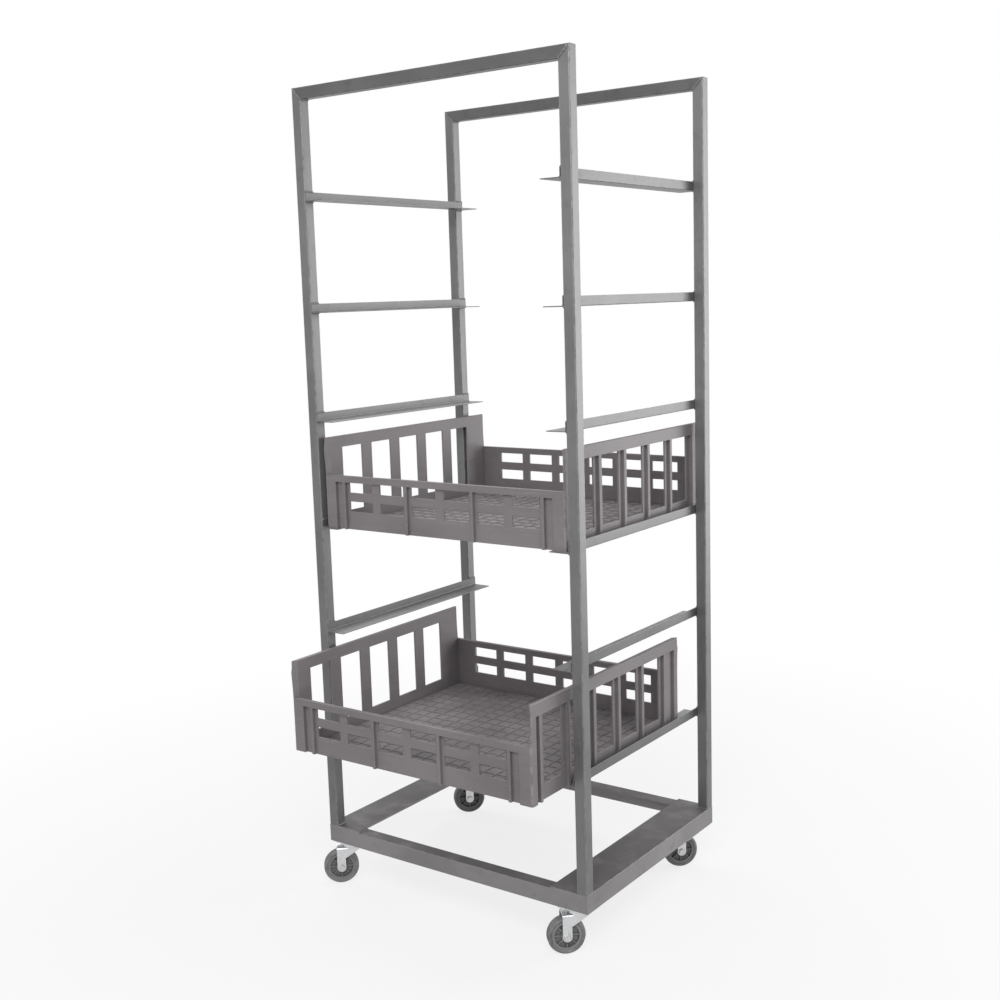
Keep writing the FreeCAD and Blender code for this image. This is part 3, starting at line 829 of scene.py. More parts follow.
def turned_ring(
    outline: Sequence[tuple[float, float]], axis: Vector, rounding: float, steps: int
) -> bmesh.types.BMesh:
    """Ring with a closed section.

    Args:
        outline: Corners of the section, as radius and place along the axis.
        axis: Axis of the ring, square to X.
        rounding: Radius of the section's corners.
        steps: Facets round the ring.

    Returns:
        The ring round the origin.
    """
    bm = bmesh.new()
    corners = [bm.verts.new(X_AXIS * radius + axis * along) for radius, along in outline]
    bm.faces.new(corners)
    round_off(bm, corners, rounding, EDGE_SEGMENTS, Affect.CORNERS)
    bmesh.ops.delete(bm, geom=bm.faces[:], context="FACES_ONLY")
    bmesh.ops.spin(
        bm,
        geom=bm.verts[:] + bm.edges[:],
        cent=(0, 0, 0),
        axis=axis,
        angle=math.tau,
        steps=steps,
        use_merge=True,
    )
    bmesh.ops.remove_doubles(bm, verts=bm.verts, dist=TOUCH)
    bmesh.ops.recalc_face_normals(bm, faces=bm.faces)
    return bm


def hexagon_block(across_flats: float, depth: float, chamfer: float) -> bmesh.types.BMesh:
    """Bolt head or nut along Z, with its base at the origin.

    Args:
        across_flats: Spanner size.
        depth: Height of the head.
        chamfer: Size of the chamfer round its free face.

    Returns:
        The head.
    """
    bm = bmesh.new()
    corner_radius = across_flats / math.sqrt(3)
    bmesh.ops.create_cone(
        bm, cap_ends=True, segments=HEXAGON, radius1=corner_radius, radius2=corner_radius, depth=depth
    )
    bmesh.ops.translate(bm, vec=Z_AXIS * (depth / 2), verts=bm.verts)
    rim = [edge for edge in bm.edges if all(vert.co.z > depth - TOUCH for vert in edge.verts)]
    soften(bm, rim, chamfer)
    return bm


def finish_piece(
    bm: bmesh.types.BMesh, name: str, finish: Finish, body: str, slot: str, *nodes: str
) -> bpy.types.Object:
    """Turn a mesh into a piece of the object.

    Args:
        bm: Mesh in its place; it is used up.
        name: Name of the piece.
        finish: Its finish.
        body: Body that it moves with.
        slot: Material slot of the record; not used.
        nodes: CAD nodes that it stands for.

    Returns:
        The piece.
    """
    bmesh.ops.remove_doubles(bm, verts=bm.verts, dist=SPECK)
    bmesh.ops.recalc_face_normals(bm, faces=bm.faces)
    if bm.calc_volume(signed=True) < 0:
        bmesh.ops.reverse_faces(bm, faces=bm.faces)
    for face in bm.faces:
        face.smooth = True
    mesh = bpy.data.meshes.new(name)
    bm.to_mesh(mesh)
    bm.free()
    mesh.set_sharp_from_angle(angle=SHARP_ANGLE)
    mesh.materials.append(finish.material())
    piece = in_scene(name, mesh)
    even = piece.modifiers.new("even_shading", "WEIGHTED_NORMAL")
    even.keep_sharp = True
    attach(piece, body)
    if nodes:
        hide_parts(*nodes)
    LOG.info("%s: %d faces on %s", name, len(mesh.polygons), body)
    return piece


def dress_node(node: str, finish: Finish) -> None:
    """Give a CAD node that shows as it is its finish.

    Args:
        node: Name of the node.
        finish: Its finish.
    """
    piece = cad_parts[node]
    piece.data.materials.clear()
    piece.data.materials.append(finish.material())
    LOG.info("%s: kept, finish %s", node, finish.name)


@dataclass(frozen=True)
class Angle:
    """Kind of angle bar.

    gauge is its thickness and bend the radius of its outside corner. It runs along the axis with the number
    run, and leg is 1 where its leg stands up and -1 where it hangs.
    """

    gauge: float
    bend: float
    run: int
    leg: int
    finish: SatinSteel
    slot: str


@dataclass
class SteelFrame:
    """Posts, top bars, runners and base of the rack, and the welds that join them."""

    body: str = "rack"
    levels: int = 6
    tube_corner: float = 0.0025
    tube_segments: int = 4
    edge: float = 0.0004
    runner: Angle = Angle(0.002, 0.0024, 1, 1, RUNNER_STEEL, "frame_steel")
    rail: Angle = Angle(0.004, 0.0008, 1, -1, RAIL_STEEL, "base_steel")
    cross: Angle = Angle(0.003, 0.0008, 0, -1, CROSS_STEEL, "base_steel")
    root_radius: float = 0.003
    root_segments: int = 3
    toe_radius: float = 0.0008
    toe_share: float = 0.25
    bead: float = 0.003
    bead_step: float = 0.0025
    bead_least: int = 4
    bead_sides: int = 8
    bead_end: float = 0.45
    bead_dip: float = 0.8
    seam_inset: float = 0.0036

    def build(self) -> None:
        """Make all members and welds."""
        for end in End:
            for side in Side:
                self.make_post(end, side)
            self.make_top_bar(end)
            self.make_angle(f"base_cross_{end.value[0]}", self.cross, end.value[1])
        for side in Side:
            name, sign = side.value
            self.make_angle(f"base_rail_{name}", self.rail, sign)
            for level in range(1, self.levels + 1):
                self.make_angle(f"runner_{name}_{level}", self.runner, sign)
        self.make_welds()
        dress_node("corner_pads", CROSS_STEEL)

    def tube(self, low: Vector, high: Vector, axis: Vector) -> bmesh.types.BMesh:
        """Square tube with rounded long edges.

        Args:
            low: Lowest corner.
            high: Highest corner.
            axis: Direction of the tube.

        Returns:
            The tube.
        """
        bm = box_mesh(low, high)
        soften(bm, edges_along(bm, axis), self.tube_corner, self.tube_segments)
        return bm

    @staticmethod
    def mitre(bm: bmesh.types.BMesh, corner: Vector, away: Vector) -> None:
        """Cut a tube off on a slant.

        Args:
            bm: Tube.
            corner: Point on the cut.
            away: Direction of the part that is cut off.
        """
        whole = bm.verts[:] + bm.edges[:] + bm.faces[:]
        bmesh.ops.bisect_plane(bm, geom=whole, plane_co=corner, plane_no=away, clear_outer=True)
        bmesh.ops.holes_fill(bm, edges=[edge for edge in bm.edges if edge.is_boundary])

    def make_post(self, end: End, side: Side) -> None:
        """Upright tube with a mitred top.

        Args:
            end: Front or rear.
            side: Left or right.
        """
        node = f"post_{end.value[0]}_{side.value[0]}"
        sign = side.value[1]
        low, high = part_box(node)
        bm = self.tube(low, high, Z_AXIS)
        outer = high.x if sign > 0 else low.x
        self.mitre(bm, Vector((outer, low.y, high.z)), Vector((-sign, 0, 1)))
        soften(bm, sharp_edges(bm), self.edge, CHAMFER_SEGMENTS)
        finish_piece(bm, f"{node}_tube", POST_STEEL, self.body, "frame_steel", node)

    def make_top_bar(self, end: End) -> None:
        """Level tube, mitred at both ends.

        Args:
            end: Front or rear.
        """
        node = f"top_bar_{end.value[0]}"
        low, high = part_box(node)
        bm = self.tube(low, high, X_AXIS)
        for sign, outer in ((-1, low.x), (1, high.x)):
            self.mitre(bm, Vector((outer, low.y, high.z)), Vector((sign, 0, -1)))
        soften(bm, sharp_edges(bm), self.edge, CHAMFER_SEGMENTS)
        finish_piece(bm, f"{node}_tube", TOP_STEEL, self.body, "frame_steel", node)

    def make_angle(self, node: str, kind: Angle, outward: int) -> None:
        """Angle bar in the place of a node: a runner, a rail or a cross member.

        Args:
            node: Name of the node.
            kind: Bar that it is cut from.
            outward: Sign of the level axis across the bar on the outer side of its leg.
        """
        low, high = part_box(node)
        size = high - low
        across = 1 - kind.run
        level_axes = (X_AXIS, Y_AXIS)
        corner = low.copy()
        if outward > 0:
            corner[across] = high[across]
        if kind.leg < 0:
            corner.z = high.z
        flange = level_axes[across] * (-outward * size[across])
        leg = Z_AXIS * (kind.leg * size.z)
        bm = self.angle_bar(corner, flange, leg, level_axes[kind.run] * size[kind.run], kind)
        finish_piece(bm, f"{node}_angle", kind.finish, self.body, kind.slot, node)

    def angle_bar(
        self, corner: Vector, flange: Vector, leg: Vector, run: Vector, kind: Angle
    ) -> bmesh.types.BMesh:
        """Angle bar with a rounded root and toes.

        Args:
            corner: Start of the bar's outside corner.
            flange: From the corner to the flange's toe.
            leg: From the corner to the leg's toe.
            run: From the bar's start to its end.
            kind: Bar that it is cut from.

        Returns:
            The bar.
        """
        bm = bmesh.new()
        inward = flange.normalized() * kind.gauge
        rise = leg.normalized() * kind.gauge
        root = corner + inward + rise
        section = [corner, corner + flange, corner + flange + rise, root, corner + leg + inward, corner + leg]
        start = bm.faces.new([bm.verts.new(point) for point in section])
        made = bmesh.ops.extrude_face_region(bm, geom=[start])
        bmesh.ops.translate(bm, vec=run, verts=new_verts(made))
        bmesh.ops.recalc_face_normals(bm, faces=bm.faces)
        for point, radius in ((corner, kind.bend), (root, self.root_radius)):
            soften(bm, [self.edge_from(bm, point, point + run)], radius, self.root_segments)
        soften(bm, sharp_edges(bm), min(self.toe_radius, kind.gauge * self.toe_share))
        return bm

    @staticmethod
    def edge_from(bm: bmesh.types.BMesh, start: Vector, stop: Vector) -> bmesh.types.BMEdge:
        """Edge whose middle lies halfway between two points, or nearest to that."""
        middle = (start + stop) / 2
        return min(bm.edges, key=lambda e: ((e.verts[0].co + e.verts[1].co) / 2 - middle).length)

    def weld_bead(self, start: Vector, stop: Vector) -> bmesh.types.BMesh:
        """Rippled bead with tapered ends.

        Args:
            start: Start of the seam.
            stop: End of the seam.

        Returns:
            The bead.
        """
        bm = bmesh.new()
        run = stop - start
        turn = run.to_track_quat("Z", "Y").to_matrix().to_4x4()
        place = Matrix.Translation(start) @ turn
        steps = max(self.bead_least, round(run.length / self.bead_step))
        made = bmesh.ops.create_circle(
            bm, cap_ends=True, segments=self.bead_sides, radius=self.bead * self.bead_end, matrix=place
        )
        ring = made["verts"]
        for step in range(1, steps + 1):
            edges = [edge for edge in bm.edges if all(vert in ring for vert in edge.verts)]
            ring = new_verts(bmesh.ops.extrude_edge_only(bm, edges=edges))
            bmesh.ops.translate(bm, vec=run / steps, verts=ring)
            middle = start + run * (step / steps)
            ripple = 1.0 if step % 2 else self.bead_dip
            size = self.bead_end if step == steps else ripple
            for vert in ring:
                vert.co = middle + (vert.co - middle).normalized() * self.bead * size
        last = [edge for edge in bm.edges if all(vert in ring for vert in edge.verts)]
        bmesh.ops.edgeloop_fill(bm, edges=last)
        return bm

    def post_seams(self, end: End, side: Side) -> list[Seam]:
        """Seams round one post.

        Args:
            end: Front or rear.
            side: Left or right.

        Returns:
            Start and end of each seam.
        """
        name, sign = side.value
        low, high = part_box(f"post_{end.value[0]}_{name}")
        bar_low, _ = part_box(f"top_bar_{end.value[0]}")
        cross_low, cross_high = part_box(f"base_cross_{end.value[0]}")
        rail_low, rail_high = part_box(f"base_rail_{name}")
        inner, outer, toe = (low.x, high.x, rail_low.x) if sign > 0 else (high.x, low.x, rail_high.x)
        top = Vector((outer - sign * self.seam_inset, 0, high.z - self.seam_inset))
        seams = [(Vector((inner, y, bar_low.z)), Vector((top.x, y, top.z))) for y in (low.y, high.y)]
        levels = [bar_low.z, low.z]
        for level in range(1, self.levels + 1):
            levels += [corner.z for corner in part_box(f"runner_{name}_{level}")]
        seams += [(Vector((inner, low.y, z)), Vector((inner, high.y, z))) for z in levels]
        back = high.y if end is End.FRONT else low.y
        seams.append((Vector((low.x, back, low.z)), Vector((high.x, back, low.z))))
        height = cross_high.z
        seams.append((Vector((toe, cross_low.y, height)), Vector((toe, cross_high.y, height))))
        return seams

    def make_welds(self) -> None:
        """All weld beads as one piece."""
        bm = bmesh.new()
        for end in End:
            for side in Side:
                for start, stop in self.post_seams(end, side):
                    add_shell(bm, self.weld_bead(start, stop))
        finish_piece(bm, "frame_welds", WELD, self.body, "frame_steel")


@dataclass
class Crate:
    """Moulded produce crate: high side walls with tall windows, low end walls with two rows of windows."""

    node: str
    wall: float = 0.004
    overhang: float = 0.006
    side_rim: float = 0.025
    end_height: float = 0.118
    end_rim: float = 0.014
    side_windows: int = 5
    side_window: float = 0.066
    side_bar: float = 0.032
    side_sill: float = 0.030
    side_shift: float = 0.014
    end_windows: int = 6
    end_window: float = 0.066
    end_window_height: float = 0.023
    end_bar: float = 0.021
    end_row_gap: float = 0.019
    rib: float = 0.007
    corner_side: float = 0.018
    corner_end: float = 0.024
    corner_radius: float = 0.004
    corner_segments: int = 4
    floor_cells: tuple[int, int] = (20, 18)
    floor_rib: float = 0.0036
    cell_depth: float = 0.0014
    rib_step: float = 0.0001
    rim_radius: float = 0.0025
    rim_segments: int = 3
    edge_radius: float = 0.001

    def build(self) -> None:
        """Make the crate in place of its CAD solid."""
        low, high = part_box(self.node)
        size = high - low
        self.outer = Vector((size.x / 2 - self.overhang, size.y / 2 - self.overhang, size.z))
        bm = self.open_box()
        self.cut_windows(bm)
        self.thicken(bm)
        self.recess_floor(bm)
        self.raise_relief(bm)
        soften(bm, self.post_corners(bm), self.corner_radius, self.corner_segments)
        top = [e for e in sharp_edges(bm) if all(v.co.z > self.outer.z - TOUCH for v in e.verts)]
        rims = [e for e in top if abs(e.verts[0].co.x - e.verts[1].co.x) < TOUCH]
        soften(bm, rims, self.rim_radius, self.rim_segments)
        soften(bm, sharp_edges(bm), self.edge_radius)
        self.lay_floor_ribs(bm)
        place = Vector(((low.x + high.x) / 2, (low.y + high.y) / 2, low.z))
        bmesh.ops.translate(bm, vec=place, verts=bm.verts)
        finish_piece(bm, f"{self.node}_shell", CRATE_PLASTIC, self.node, "crate_plastic", self.node)

    def open_box(self) -> bmesh.types.BMesh:
        """Five-sided sheet of the walls' outer faces and the floor.

        Returns:
            The sheet.
        """
        bm = box_mesh(Vector((-self.outer.x, -self.outer.y, 0)), self.outer)
        top = [face for face in bm.faces if face.normal.z > FACING]
        bmesh.ops.delete(bm, geom=top, context="FACES_ONLY")
        return bm

    @staticmethod
    def row_edges(count: int, width: float, bar: float, middle: float) -> list[float]:
        """Both edges of each window in a row.

        Args:
            count: Windows in the row.
            width: Width of a window.
            bar: Width of the bar between two windows.
            middle: Middle of the row.

        Returns:
            The edges in order.
        """
        pitch = width + bar
        middles = [middle + (number - (count - 1) / 2) * pitch for number in range(count)]
        return [window + half for window in middles for half in (-width / 2, width / 2)]

    def side_ribs(self) -> list[float]:
        """Middles of the ribs on a side wall, one beside every window.

        Returns:
            Their places along Y.
        """
        pitch = self.side_window + self.side_bar
        first = -self.side_shift - self.side_windows / 2 * pitch
        return [first + number * pitch for number in range(self.side_windows + 1)]

    def end_ribs(self) -> list[float]:
        """Middles of the ribs on an end wall, one beside every second window."""
        pitch = self.end_window + self.end_bar
        return [(number - self.end_windows / 2) * pitch for number in range(0, self.end_windows + 1, 2)]

    @staticmethod
    def in_side_wall(face: bmesh.types.BMFace) -> bool:
        """Whether a face looks to the left or right."""
        return abs(face.normal.x) > FACING

    @staticmethod
    def in_end_wall(face: bmesh.types.BMFace) -> bool:
        """Whether a face looks to the front or rear."""
        return abs(face.normal.y) > FACING

    def side_rows(self) -> tuple[float, float]:
        """Bottom and top of the windows in a side wall."""
        return (self.side_sill, self.outer.z - self.side_rim)

    def end_rows(self) -> list[tuple[float, float]]:
        """Bottom and top of both window rows in an end wall.

        Returns:
            The upper row, then the lower one.
        """
        rows = []
        for row in (0, 1):
            top = self.end_height - self.end_rim - row * (self.end_window_height + self.end_row_gap)
            rows.append((top - self.end_window_height, top))
        return rows

    @staticmethod
    def cut_lines(
        bm: bmesh.types.BMesh,
        chosen: Callable[[bmesh.types.BMFace], bool],
        across: Vector,
        places: Iterable[float],
    ) -> None:
        """Score some faces.

        Args:
            bm: Mesh to score.
            chosen: Whether a face is scored.
            across: Axis that the lines are square to.
            places: Where the lines are on that axis.
        """
        for place in places:
            faces = [face for face in bm.faces if chosen(face)]
            edges = {edge for face in faces for edge in face.edges}
            verts = {vert for face in faces for vert in face.verts}
            bmesh.ops.bisect_plane(
                bm, geom=[*faces, *edges, *verts], plane_co=across * place, plane_no=across
            )

    def cut_windows(self, bm: bmesh.types.BMesh) -> None:
        """Score the walls and take out the windows and the space above the end walls.

        Args:
            bm: Five-sided sheet.
        """
        half_rib = self.rib / 2
        side_edges = self.row_edges(self.side_windows, self.side_window, self.side_bar, -self.side_shift)
        side_ribs = [rib + half for rib in self.side_ribs() for half in (-half_rib, half_rib)]
        end_edges = self.row_edges(self.end_windows, self.end_window, self.end_bar, 0.0)
        end_ribs = [rib + half for rib in self.end_ribs() for half in (-half_rib, half_rib)]
        end_levels = [level for row in self.end_rows() for level in row] + [self.end_height]
        side_posts = [sign * self.side_post_edge() for sign in (-1, 1)]
        end_posts = [sign * self.end_post_edge() for sign in (-1, 1)]
        self.cut_lines(bm, self.in_side_wall, Y_AXIS, side_edges + side_ribs + side_posts)
        self.cut_lines(bm, self.in_side_wall, Z_AXIS, self.side_rows())
        self.cut_lines(bm, self.in_end_wall, X_AXIS, end_edges + end_ribs + end_posts)
        self.cut_lines(bm, self.in_end_wall, Z_AXIS, end_levels)
        gone = [face for face in bm.faces if self.is_open(face, side_edges, end_edges)]
        bmesh.ops.delete(bm, geom=gone, context="FACES")

    def is_open(
        self, face: bmesh.types.BMFace, side_edges: Sequence[float], end_edges: Sequence[float]
    ) -> bool:
        """Whether a scored face is a window or lies above an end wall.

        Args:
            face: Face of the five-sided sheet.
            side_edges: Window edges along a side wall.
            end_edges: Window edges along an end wall.

        Returns:
            True where the crate is open.
        """
        middle = face.calc_center_median()
        if self.in_side_wall(face):
            bottom, top = self.side_rows()
            columns = zip(side_edges[::2], side_edges[1::2])
            return bottom < middle.z < top and any(left < middle.y < right for left, right in columns)
        if self.in_end_wall(face):
            if middle.z > self.end_height:
                return True
            in_row = any(bottom < middle.z < top for bottom, top in self.end_rows())
            columns = zip(end_edges[::2], end_edges[1::2])
            return in_row and any(left < middle.x < right for left, right in columns)
        return False

    def thicken(self, bm: bmesh.types.BMesh) -> None:
        """Give walls and floor their thickness, inwards.

        Args:
            bm: Sheet with its windows.
        """
        made = bmesh.ops.extrude_face_region(bm, geom=bm.faces[:])
        inner = self.outer - Vector((self.wall, self.wall, 0))
        for vert in new_verts(made):
            vert.co.x = max(-inner.x, min(inner.x, vert.co.x))
            vert.co.y = max(-inner.y, min(inner.y, vert.co.y))
            vert.co.z = max(self.wall - self.cell_depth, vert.co.z)
        bmesh.ops.recalc_face_normals(bm, faces=bm.faces)

    def recess_floor(self, bm: bmesh.types.BMesh) -> None:
        """Raise the floor's underside between the walls, which leaves room for ribs under it."""
        under = [face for face in bm.faces if face.normal.z < -FACING and face.calc_center_median().z < TOUCH]
        bmesh.ops.inset_region(
            bm, faces=under, thickness=self.wall, depth=-self.cell_depth, use_even_offset=True
        )

    def raise_relief(self, bm: bmesh.types.BMesh) -> None:
        """Raise rims, ribs and corner posts from the outer faces of the walls.

        Args:
            bm: Crate with plain walls.
        """
        faces = [face for face in bm.faces if self.on_relief(face)]
        edges = {edge for face in faces for edge in face.edges}
        made = bmesh.ops.extrude_face_region(bm, geom=[*faces, *edges])
        for vert in new_verts(made):
            for axis in (0, 1):
                if abs(abs(vert.co[axis]) - self.outer[axis]) < TOUCH:
                    vert.co[axis] += math.copysign(self.overhang, vert.co[axis])

    def side_post_edge(self) -> float:
        """Where a corner post ends on a side wall, from the crate's middle."""
        return self.outer.y + self.overhang - self.corner_side

    def end_post_edge(self) -> float:
        """Where a corner post ends on an end wall, from the crate's middle."""
        return self.outer.x - self.corner_end

    def on_relief(self, face: bmesh.types.BMFace) -> bool:
        """Whether a face of a wall's outside belongs to a rim, a rib or a corner post.

        Args:
            face: Face of the crate with plain walls.

        Returns:
            True where the wall stands out.
        """
        middle = face.calc_center_median()
        if self.in_side_wall(face) and abs(middle.x) > self.outer.x - TOUCH:
            in_rim = middle.z > self.outer.z - self.side_rim
            in_post = abs(middle.y) > self.side_post_edge()
            return in_rim or in_post or any(abs(middle.y - rib) < self.rib / 2 for rib in self.side_ribs())
        if self.in_end_wall(face) and abs(middle.y) > self.outer.y - TOUCH:
            in_rim = self.end_height - self.end_rim < middle.z < self.end_height
            in_post = abs(middle.x) > self.end_post_edge()
            return in_rim or in_post or any(abs(middle.x - rib) < self.rib / 2 for rib in self.end_ribs())
        return False

    def post_corners(self, bm: bmesh.types.BMesh) -> list[bmesh.types.BMEdge]:
        """Upright outer edges of the four corner posts.

        Args:
            bm: Crate with its relief.

        Returns:
            The edges.
        """
        outside = self.outer.xy + Vector((self.overhang, self.overhang))
        return [
            edge for edge in bm.edges
            if all(abs(abs(vert.co[axis]) - outside[axis]) < TOUCH for vert in edge.verts for axis in (0, 1))
        ]

    def lay_floor_ribs(self, bm: bmesh.types.BMesh) -> None:
        """Cross the floor with ribs that stand out on both faces.

        Those of one direction are a trace lower, so that no two faces lie in one plane.

        Args:
            bm: Crate that takes the ribs.
        """
        for axis, count in enumerate(self.floor_cells):
            across = 1 - axis
            low = Vector((0, 0, self.rib_step * (1 + axis)))
            high = Vector((0, 0, self.wall - self.rib_step * axis))
            high[across] = self.outer[across] - self.wall / 2
            low[across] = -high[across]
            for number in range(1, count):
                middle = self.outer[axis] * (2 * number / count - 1)
                low[axis] = middle - self.floor_rib / 2
                high[axis] = middle + self.floor_rib / 2
                rib = box_mesh(low, high)
                soften(rib, sharp_edges(rib), self.edge_radius / 2)
                add_shell(bm, rib)


@dataclass
class Caster:
    """Swivel caster at one corner; its own +X is the way in which the wheel trails."""

    end: End
    side: Side
    heading: float = math.radians(225)
    plate_corner: float = 0.006
    corner_segments: int = 5
    plate_edge: float = 0.0005
    bore: float = 0.00502
    race_bottom: float = 0.0944
    skirt_bottom: float = 0.0892
    skirt_inside: float = 0.0232
    skirt_outside: float = 0.025
    crown_top: float = 0.088
    crown_gauge: float = 0.003
    crown_radius: float = 0.022
    fork_gauge: float = 0.0025
    fork_half: float = 0.018
    fork_back: float = 0.014
    leg_half: float = 0.010
    leg_shoulder: float = 0.022
    bend_radius: float = 0.004
    trail: float = 0.028
    wheel_radius: float = 0.040
    tyre_inside: float = 0.031
    tyre_half: float = 0.012
    flank_height: float = 0.0045
    shoulder_drop: float = 0.0015
    groove_place: float = 0.0034
    groove_half: float = 0.0006
    groove_depth: float = 0.0009
    hub_bore: float = 0.00607
    boss_radius: float = 0.01207
    hub_half: float = 0.014
    web_half: float = 0.003
    rim_half: float = 0.010
    rim_inside: float = 0.026
    hub_rib: float = 0.0024
    hub_rib_half: float = 0.008
    hub_rib_start: float = 0.0114665
    hub_rib_end: float = 0.02678
    hub_ribs: int = 8
    axle_radius: float = 0.004
    axle_sides: int = 24
    axle_flats: float = 0.01336
    axle_head: float = 0.00528
    axle_nut: float = 0.0064
    head_chamfer: float = 0.0008
    thread_end: float = 0.0032
    steps: int = 72

    @property
    def corner(self) -> str:
        """Name of the caster's corner."""
        return f"{self.end.value[0]}_{self.side.value[0]}"

    def add_piece(
        self, bm: bmesh.types.BMesh, name: str, finish: Finish, body: str, slot: str, node: str
    ) -> None:
        """Turn a mesh into a piece of this caster.

        Args:
            bm: Mesh in its place; it is used up.
            name: Name of the piece, without the corner.
            finish: Its finish.
            body: Body that it moves with.
            slot: Material slot of the record.
            node: CAD node that it stands for, without the corner.
        """
        finish_piece(bm, f"{self.corner}_{name}", finish, body, slot, f"{self.corner}_{node}")

    def build(self) -> None:
        """Make the caster's visible pieces and dress the hidden ones."""
        low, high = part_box(f"{self.corner}_caster_plate")
        swivel = Vector(((low.x + high.x) / 2, (low.y + high.y) / 2, 0))
        self.turned = Matrix.Translation(swivel) @ Matrix.Rotation(self.heading, 4, "Z")
        self.at_wheel = self.turned @ Matrix.Translation((self.trail, 0, self.wheel_radius))
        self.make_plate(low, high, Matrix.Translation(swivel))
        self.make_fork()
        self.make_hub()
        self.make_tyre()
        self.make_axle()
        for piece in ("kingpin", "bearing_balls", "axle_sleeve"):
            dress_node(f"{self.corner}_{piece}", BOLT_ZINC)

    def make_plate(self, low: Vector, high: Vector, place: Matrix) -> None:
        """Top plate with rounded corners, and the pressed race and skirt under it.

        Args:
            low: Lowest corner of the plate's node.
            high: Highest corner of the plate's node.
            place: Where the swivel axis is.
        """
        bottom = high.z - self.crown_gauge
        bm = box_mesh(Vector((low.x, low.y, bottom)), high)
        soften(bm, edges_along(bm, Z_AXIS), self.plate_corner, self.corner_segments)
        soften(bm, sharp_edges(bm), self.plate_edge)
        section = [
            (self.bore, bottom),
            (self.bore, self.race_bottom),
            (self.skirt_inside, self.race_bottom),
            (self.skirt_inside, self.skirt_bottom),
            (self.skirt_outside, self.skirt_bottom),
            (self.skirt_outside, bottom),
        ]
        add_shell(bm, turned_ring(section, Z_AXIS, self.plate_edge, self.steps), place)
        self.add_piece(bm, "top_plate", FORK_ZINC, "rack", "caster_zinc", "caster_plate")

    def make_fork(self) -> None:
        """Pressed fork: one bent sheet for the crown and both legs, and the round crown."""
        bm = bmesh.new()
        front = self.trail - self.leg_half
        back = self.trail + self.leg_half
        foot = self.wheel_radius - self.leg_half
        outline = [
            (back, self.crown_top),
            (-self.fork_back, self.crown_top),
            (-self.fork_back, self.crown_top - 2 * self.crown_gauge),
            (front, self.wheel_radius + self.leg_shoulder),
            (front, foot),
            (back, foot),
        ]
        legs = []
        for half in (self.fork_half, -self.fork_half):
            leg = [bm.verts.new((x, half, z)) for x, z in outline]
            bm.faces.new(leg)
            legs.append(leg)
        near, far = legs
        bm.faces.new((near[1], near[0], far[0], far[1]))
        bends = [bm.edges.get((leg[0], leg[1])) for leg in legs]
        feet = [vert for leg in legs for vert in leg[-2:]]
        bmesh.ops.recalc_face_normals(bm, faces=bm.faces)
        round_off(bm, feet, self.leg_half, self.corner_segments, Affect.CORNERS, clamp=False)
        round_off(bm, bends, self.bend_radius, self.corner_segments, clamp=False)
        bmesh.ops.remove_doubles(bm, verts=bm.verts, dist=TOUCH)
        bmesh.ops.recalc_face_normals(bm, faces=bm.faces)
        bmesh.ops.solidify(bm, geom=bm.faces[:], thickness=self.fork_gauge)
        bmesh.ops.recalc_face_normals(bm, faces=bm.faces)
        soften(bm, sharp_edges(bm), self.plate_edge)
        crown = [
            (self.bore, self.crown_top),
            (self.bore, self.crown_top - self.crown_gauge),
            (self.crown_radius, self.crown_top - self.crown_gauge),
            (self.crown_radius, self.crown_top),
        ]
        add_shell(bm, turned_ring(crown, Z_AXIS, self.plate_edge, self.steps))
        bmesh.ops.transform(bm, matrix=self.turned, verts=bm.verts)
        self.add_piece(bm, "fork", FORK_ZINC, f"{self.corner}_swivel", "caster_zinc", "caster_fork")

    def make_hub(self) -> None:
        """Moulded wheel centre with radial ribs on both faces."""
        rim = self.tyre_inside - TOUCH
        upper = [
            (self.boss_radius, self.hub_half),
            (self.boss_radius, self.web_half),
            (self.rim_inside, self.web_half),
            (self.rim_inside, self.rim_half),
            (rim, self.rim_half),
        ]
        lower = [(radius, -along) for radius, along in reversed(upper)]
        section = [(self.hub_bore, self.hub_half), *upper, *lower, (self.hub_bore, -self.hub_half)]
        bm = turned_ring(section, Y_AXIS, self.plate_edge, self.steps)
        for number in range(self.hub_ribs):
            turn = Matrix.Rotation(math.tau * number / self.hub_ribs, 4, "Y")
            rib = box_mesh(
                Vector((self.hub_rib_start, -self.hub_rib_half, -self.hub_rib / 2)),
                Vector((self.hub_rib_end, self.hub_rib_half, self.hub_rib / 2)),
            )
            soften(rib, sharp_edges(rib), self.plate_edge)
            add_shell(bm, rib, turn)
        bmesh.ops.transform(bm, matrix=self.at_wheel, verts=bm.verts)
        self.add_piece(bm, "wheel_centre", HUB_PLASTIC, f"{self.corner}_wheel", "wheel_core", "wheel_hub")

    def make_tyre(self) -> None:
        """Solid tyre with a crowned tread and two fine grooves."""
        radius = self.wheel_radius
        upper = [
            (self.tyre_inside, self.rim_half),
            (radius - self.flank_height, self.tyre_half),
            (radius - self.shoulder_drop, self.rim_half),
            (radius, self.tyre_half / 2),
            (radius, self.groove_place + self.groove_half),
            (radius - self.groove_depth, self.groove_place + self.groove_half / 2),
            (radius - self.groove_depth, self.groove_place - self.groove_half / 2),
            (radius, self.groove_place - self.groove_half),
        ]
        lower = [(ring, -along) for ring, along in reversed(upper)]
        bm = turned_ring([*upper, *lower], Y_AXIS, self.groove_half / 3, self.steps)
        bmesh.ops.transform(bm, matrix=self.at_wheel, verts=bm.verts)
        self.add_piece(bm, "tread", TYRE_RUBBER, f"{self.corner}_wheel", "tyre_rubber", "tyre")

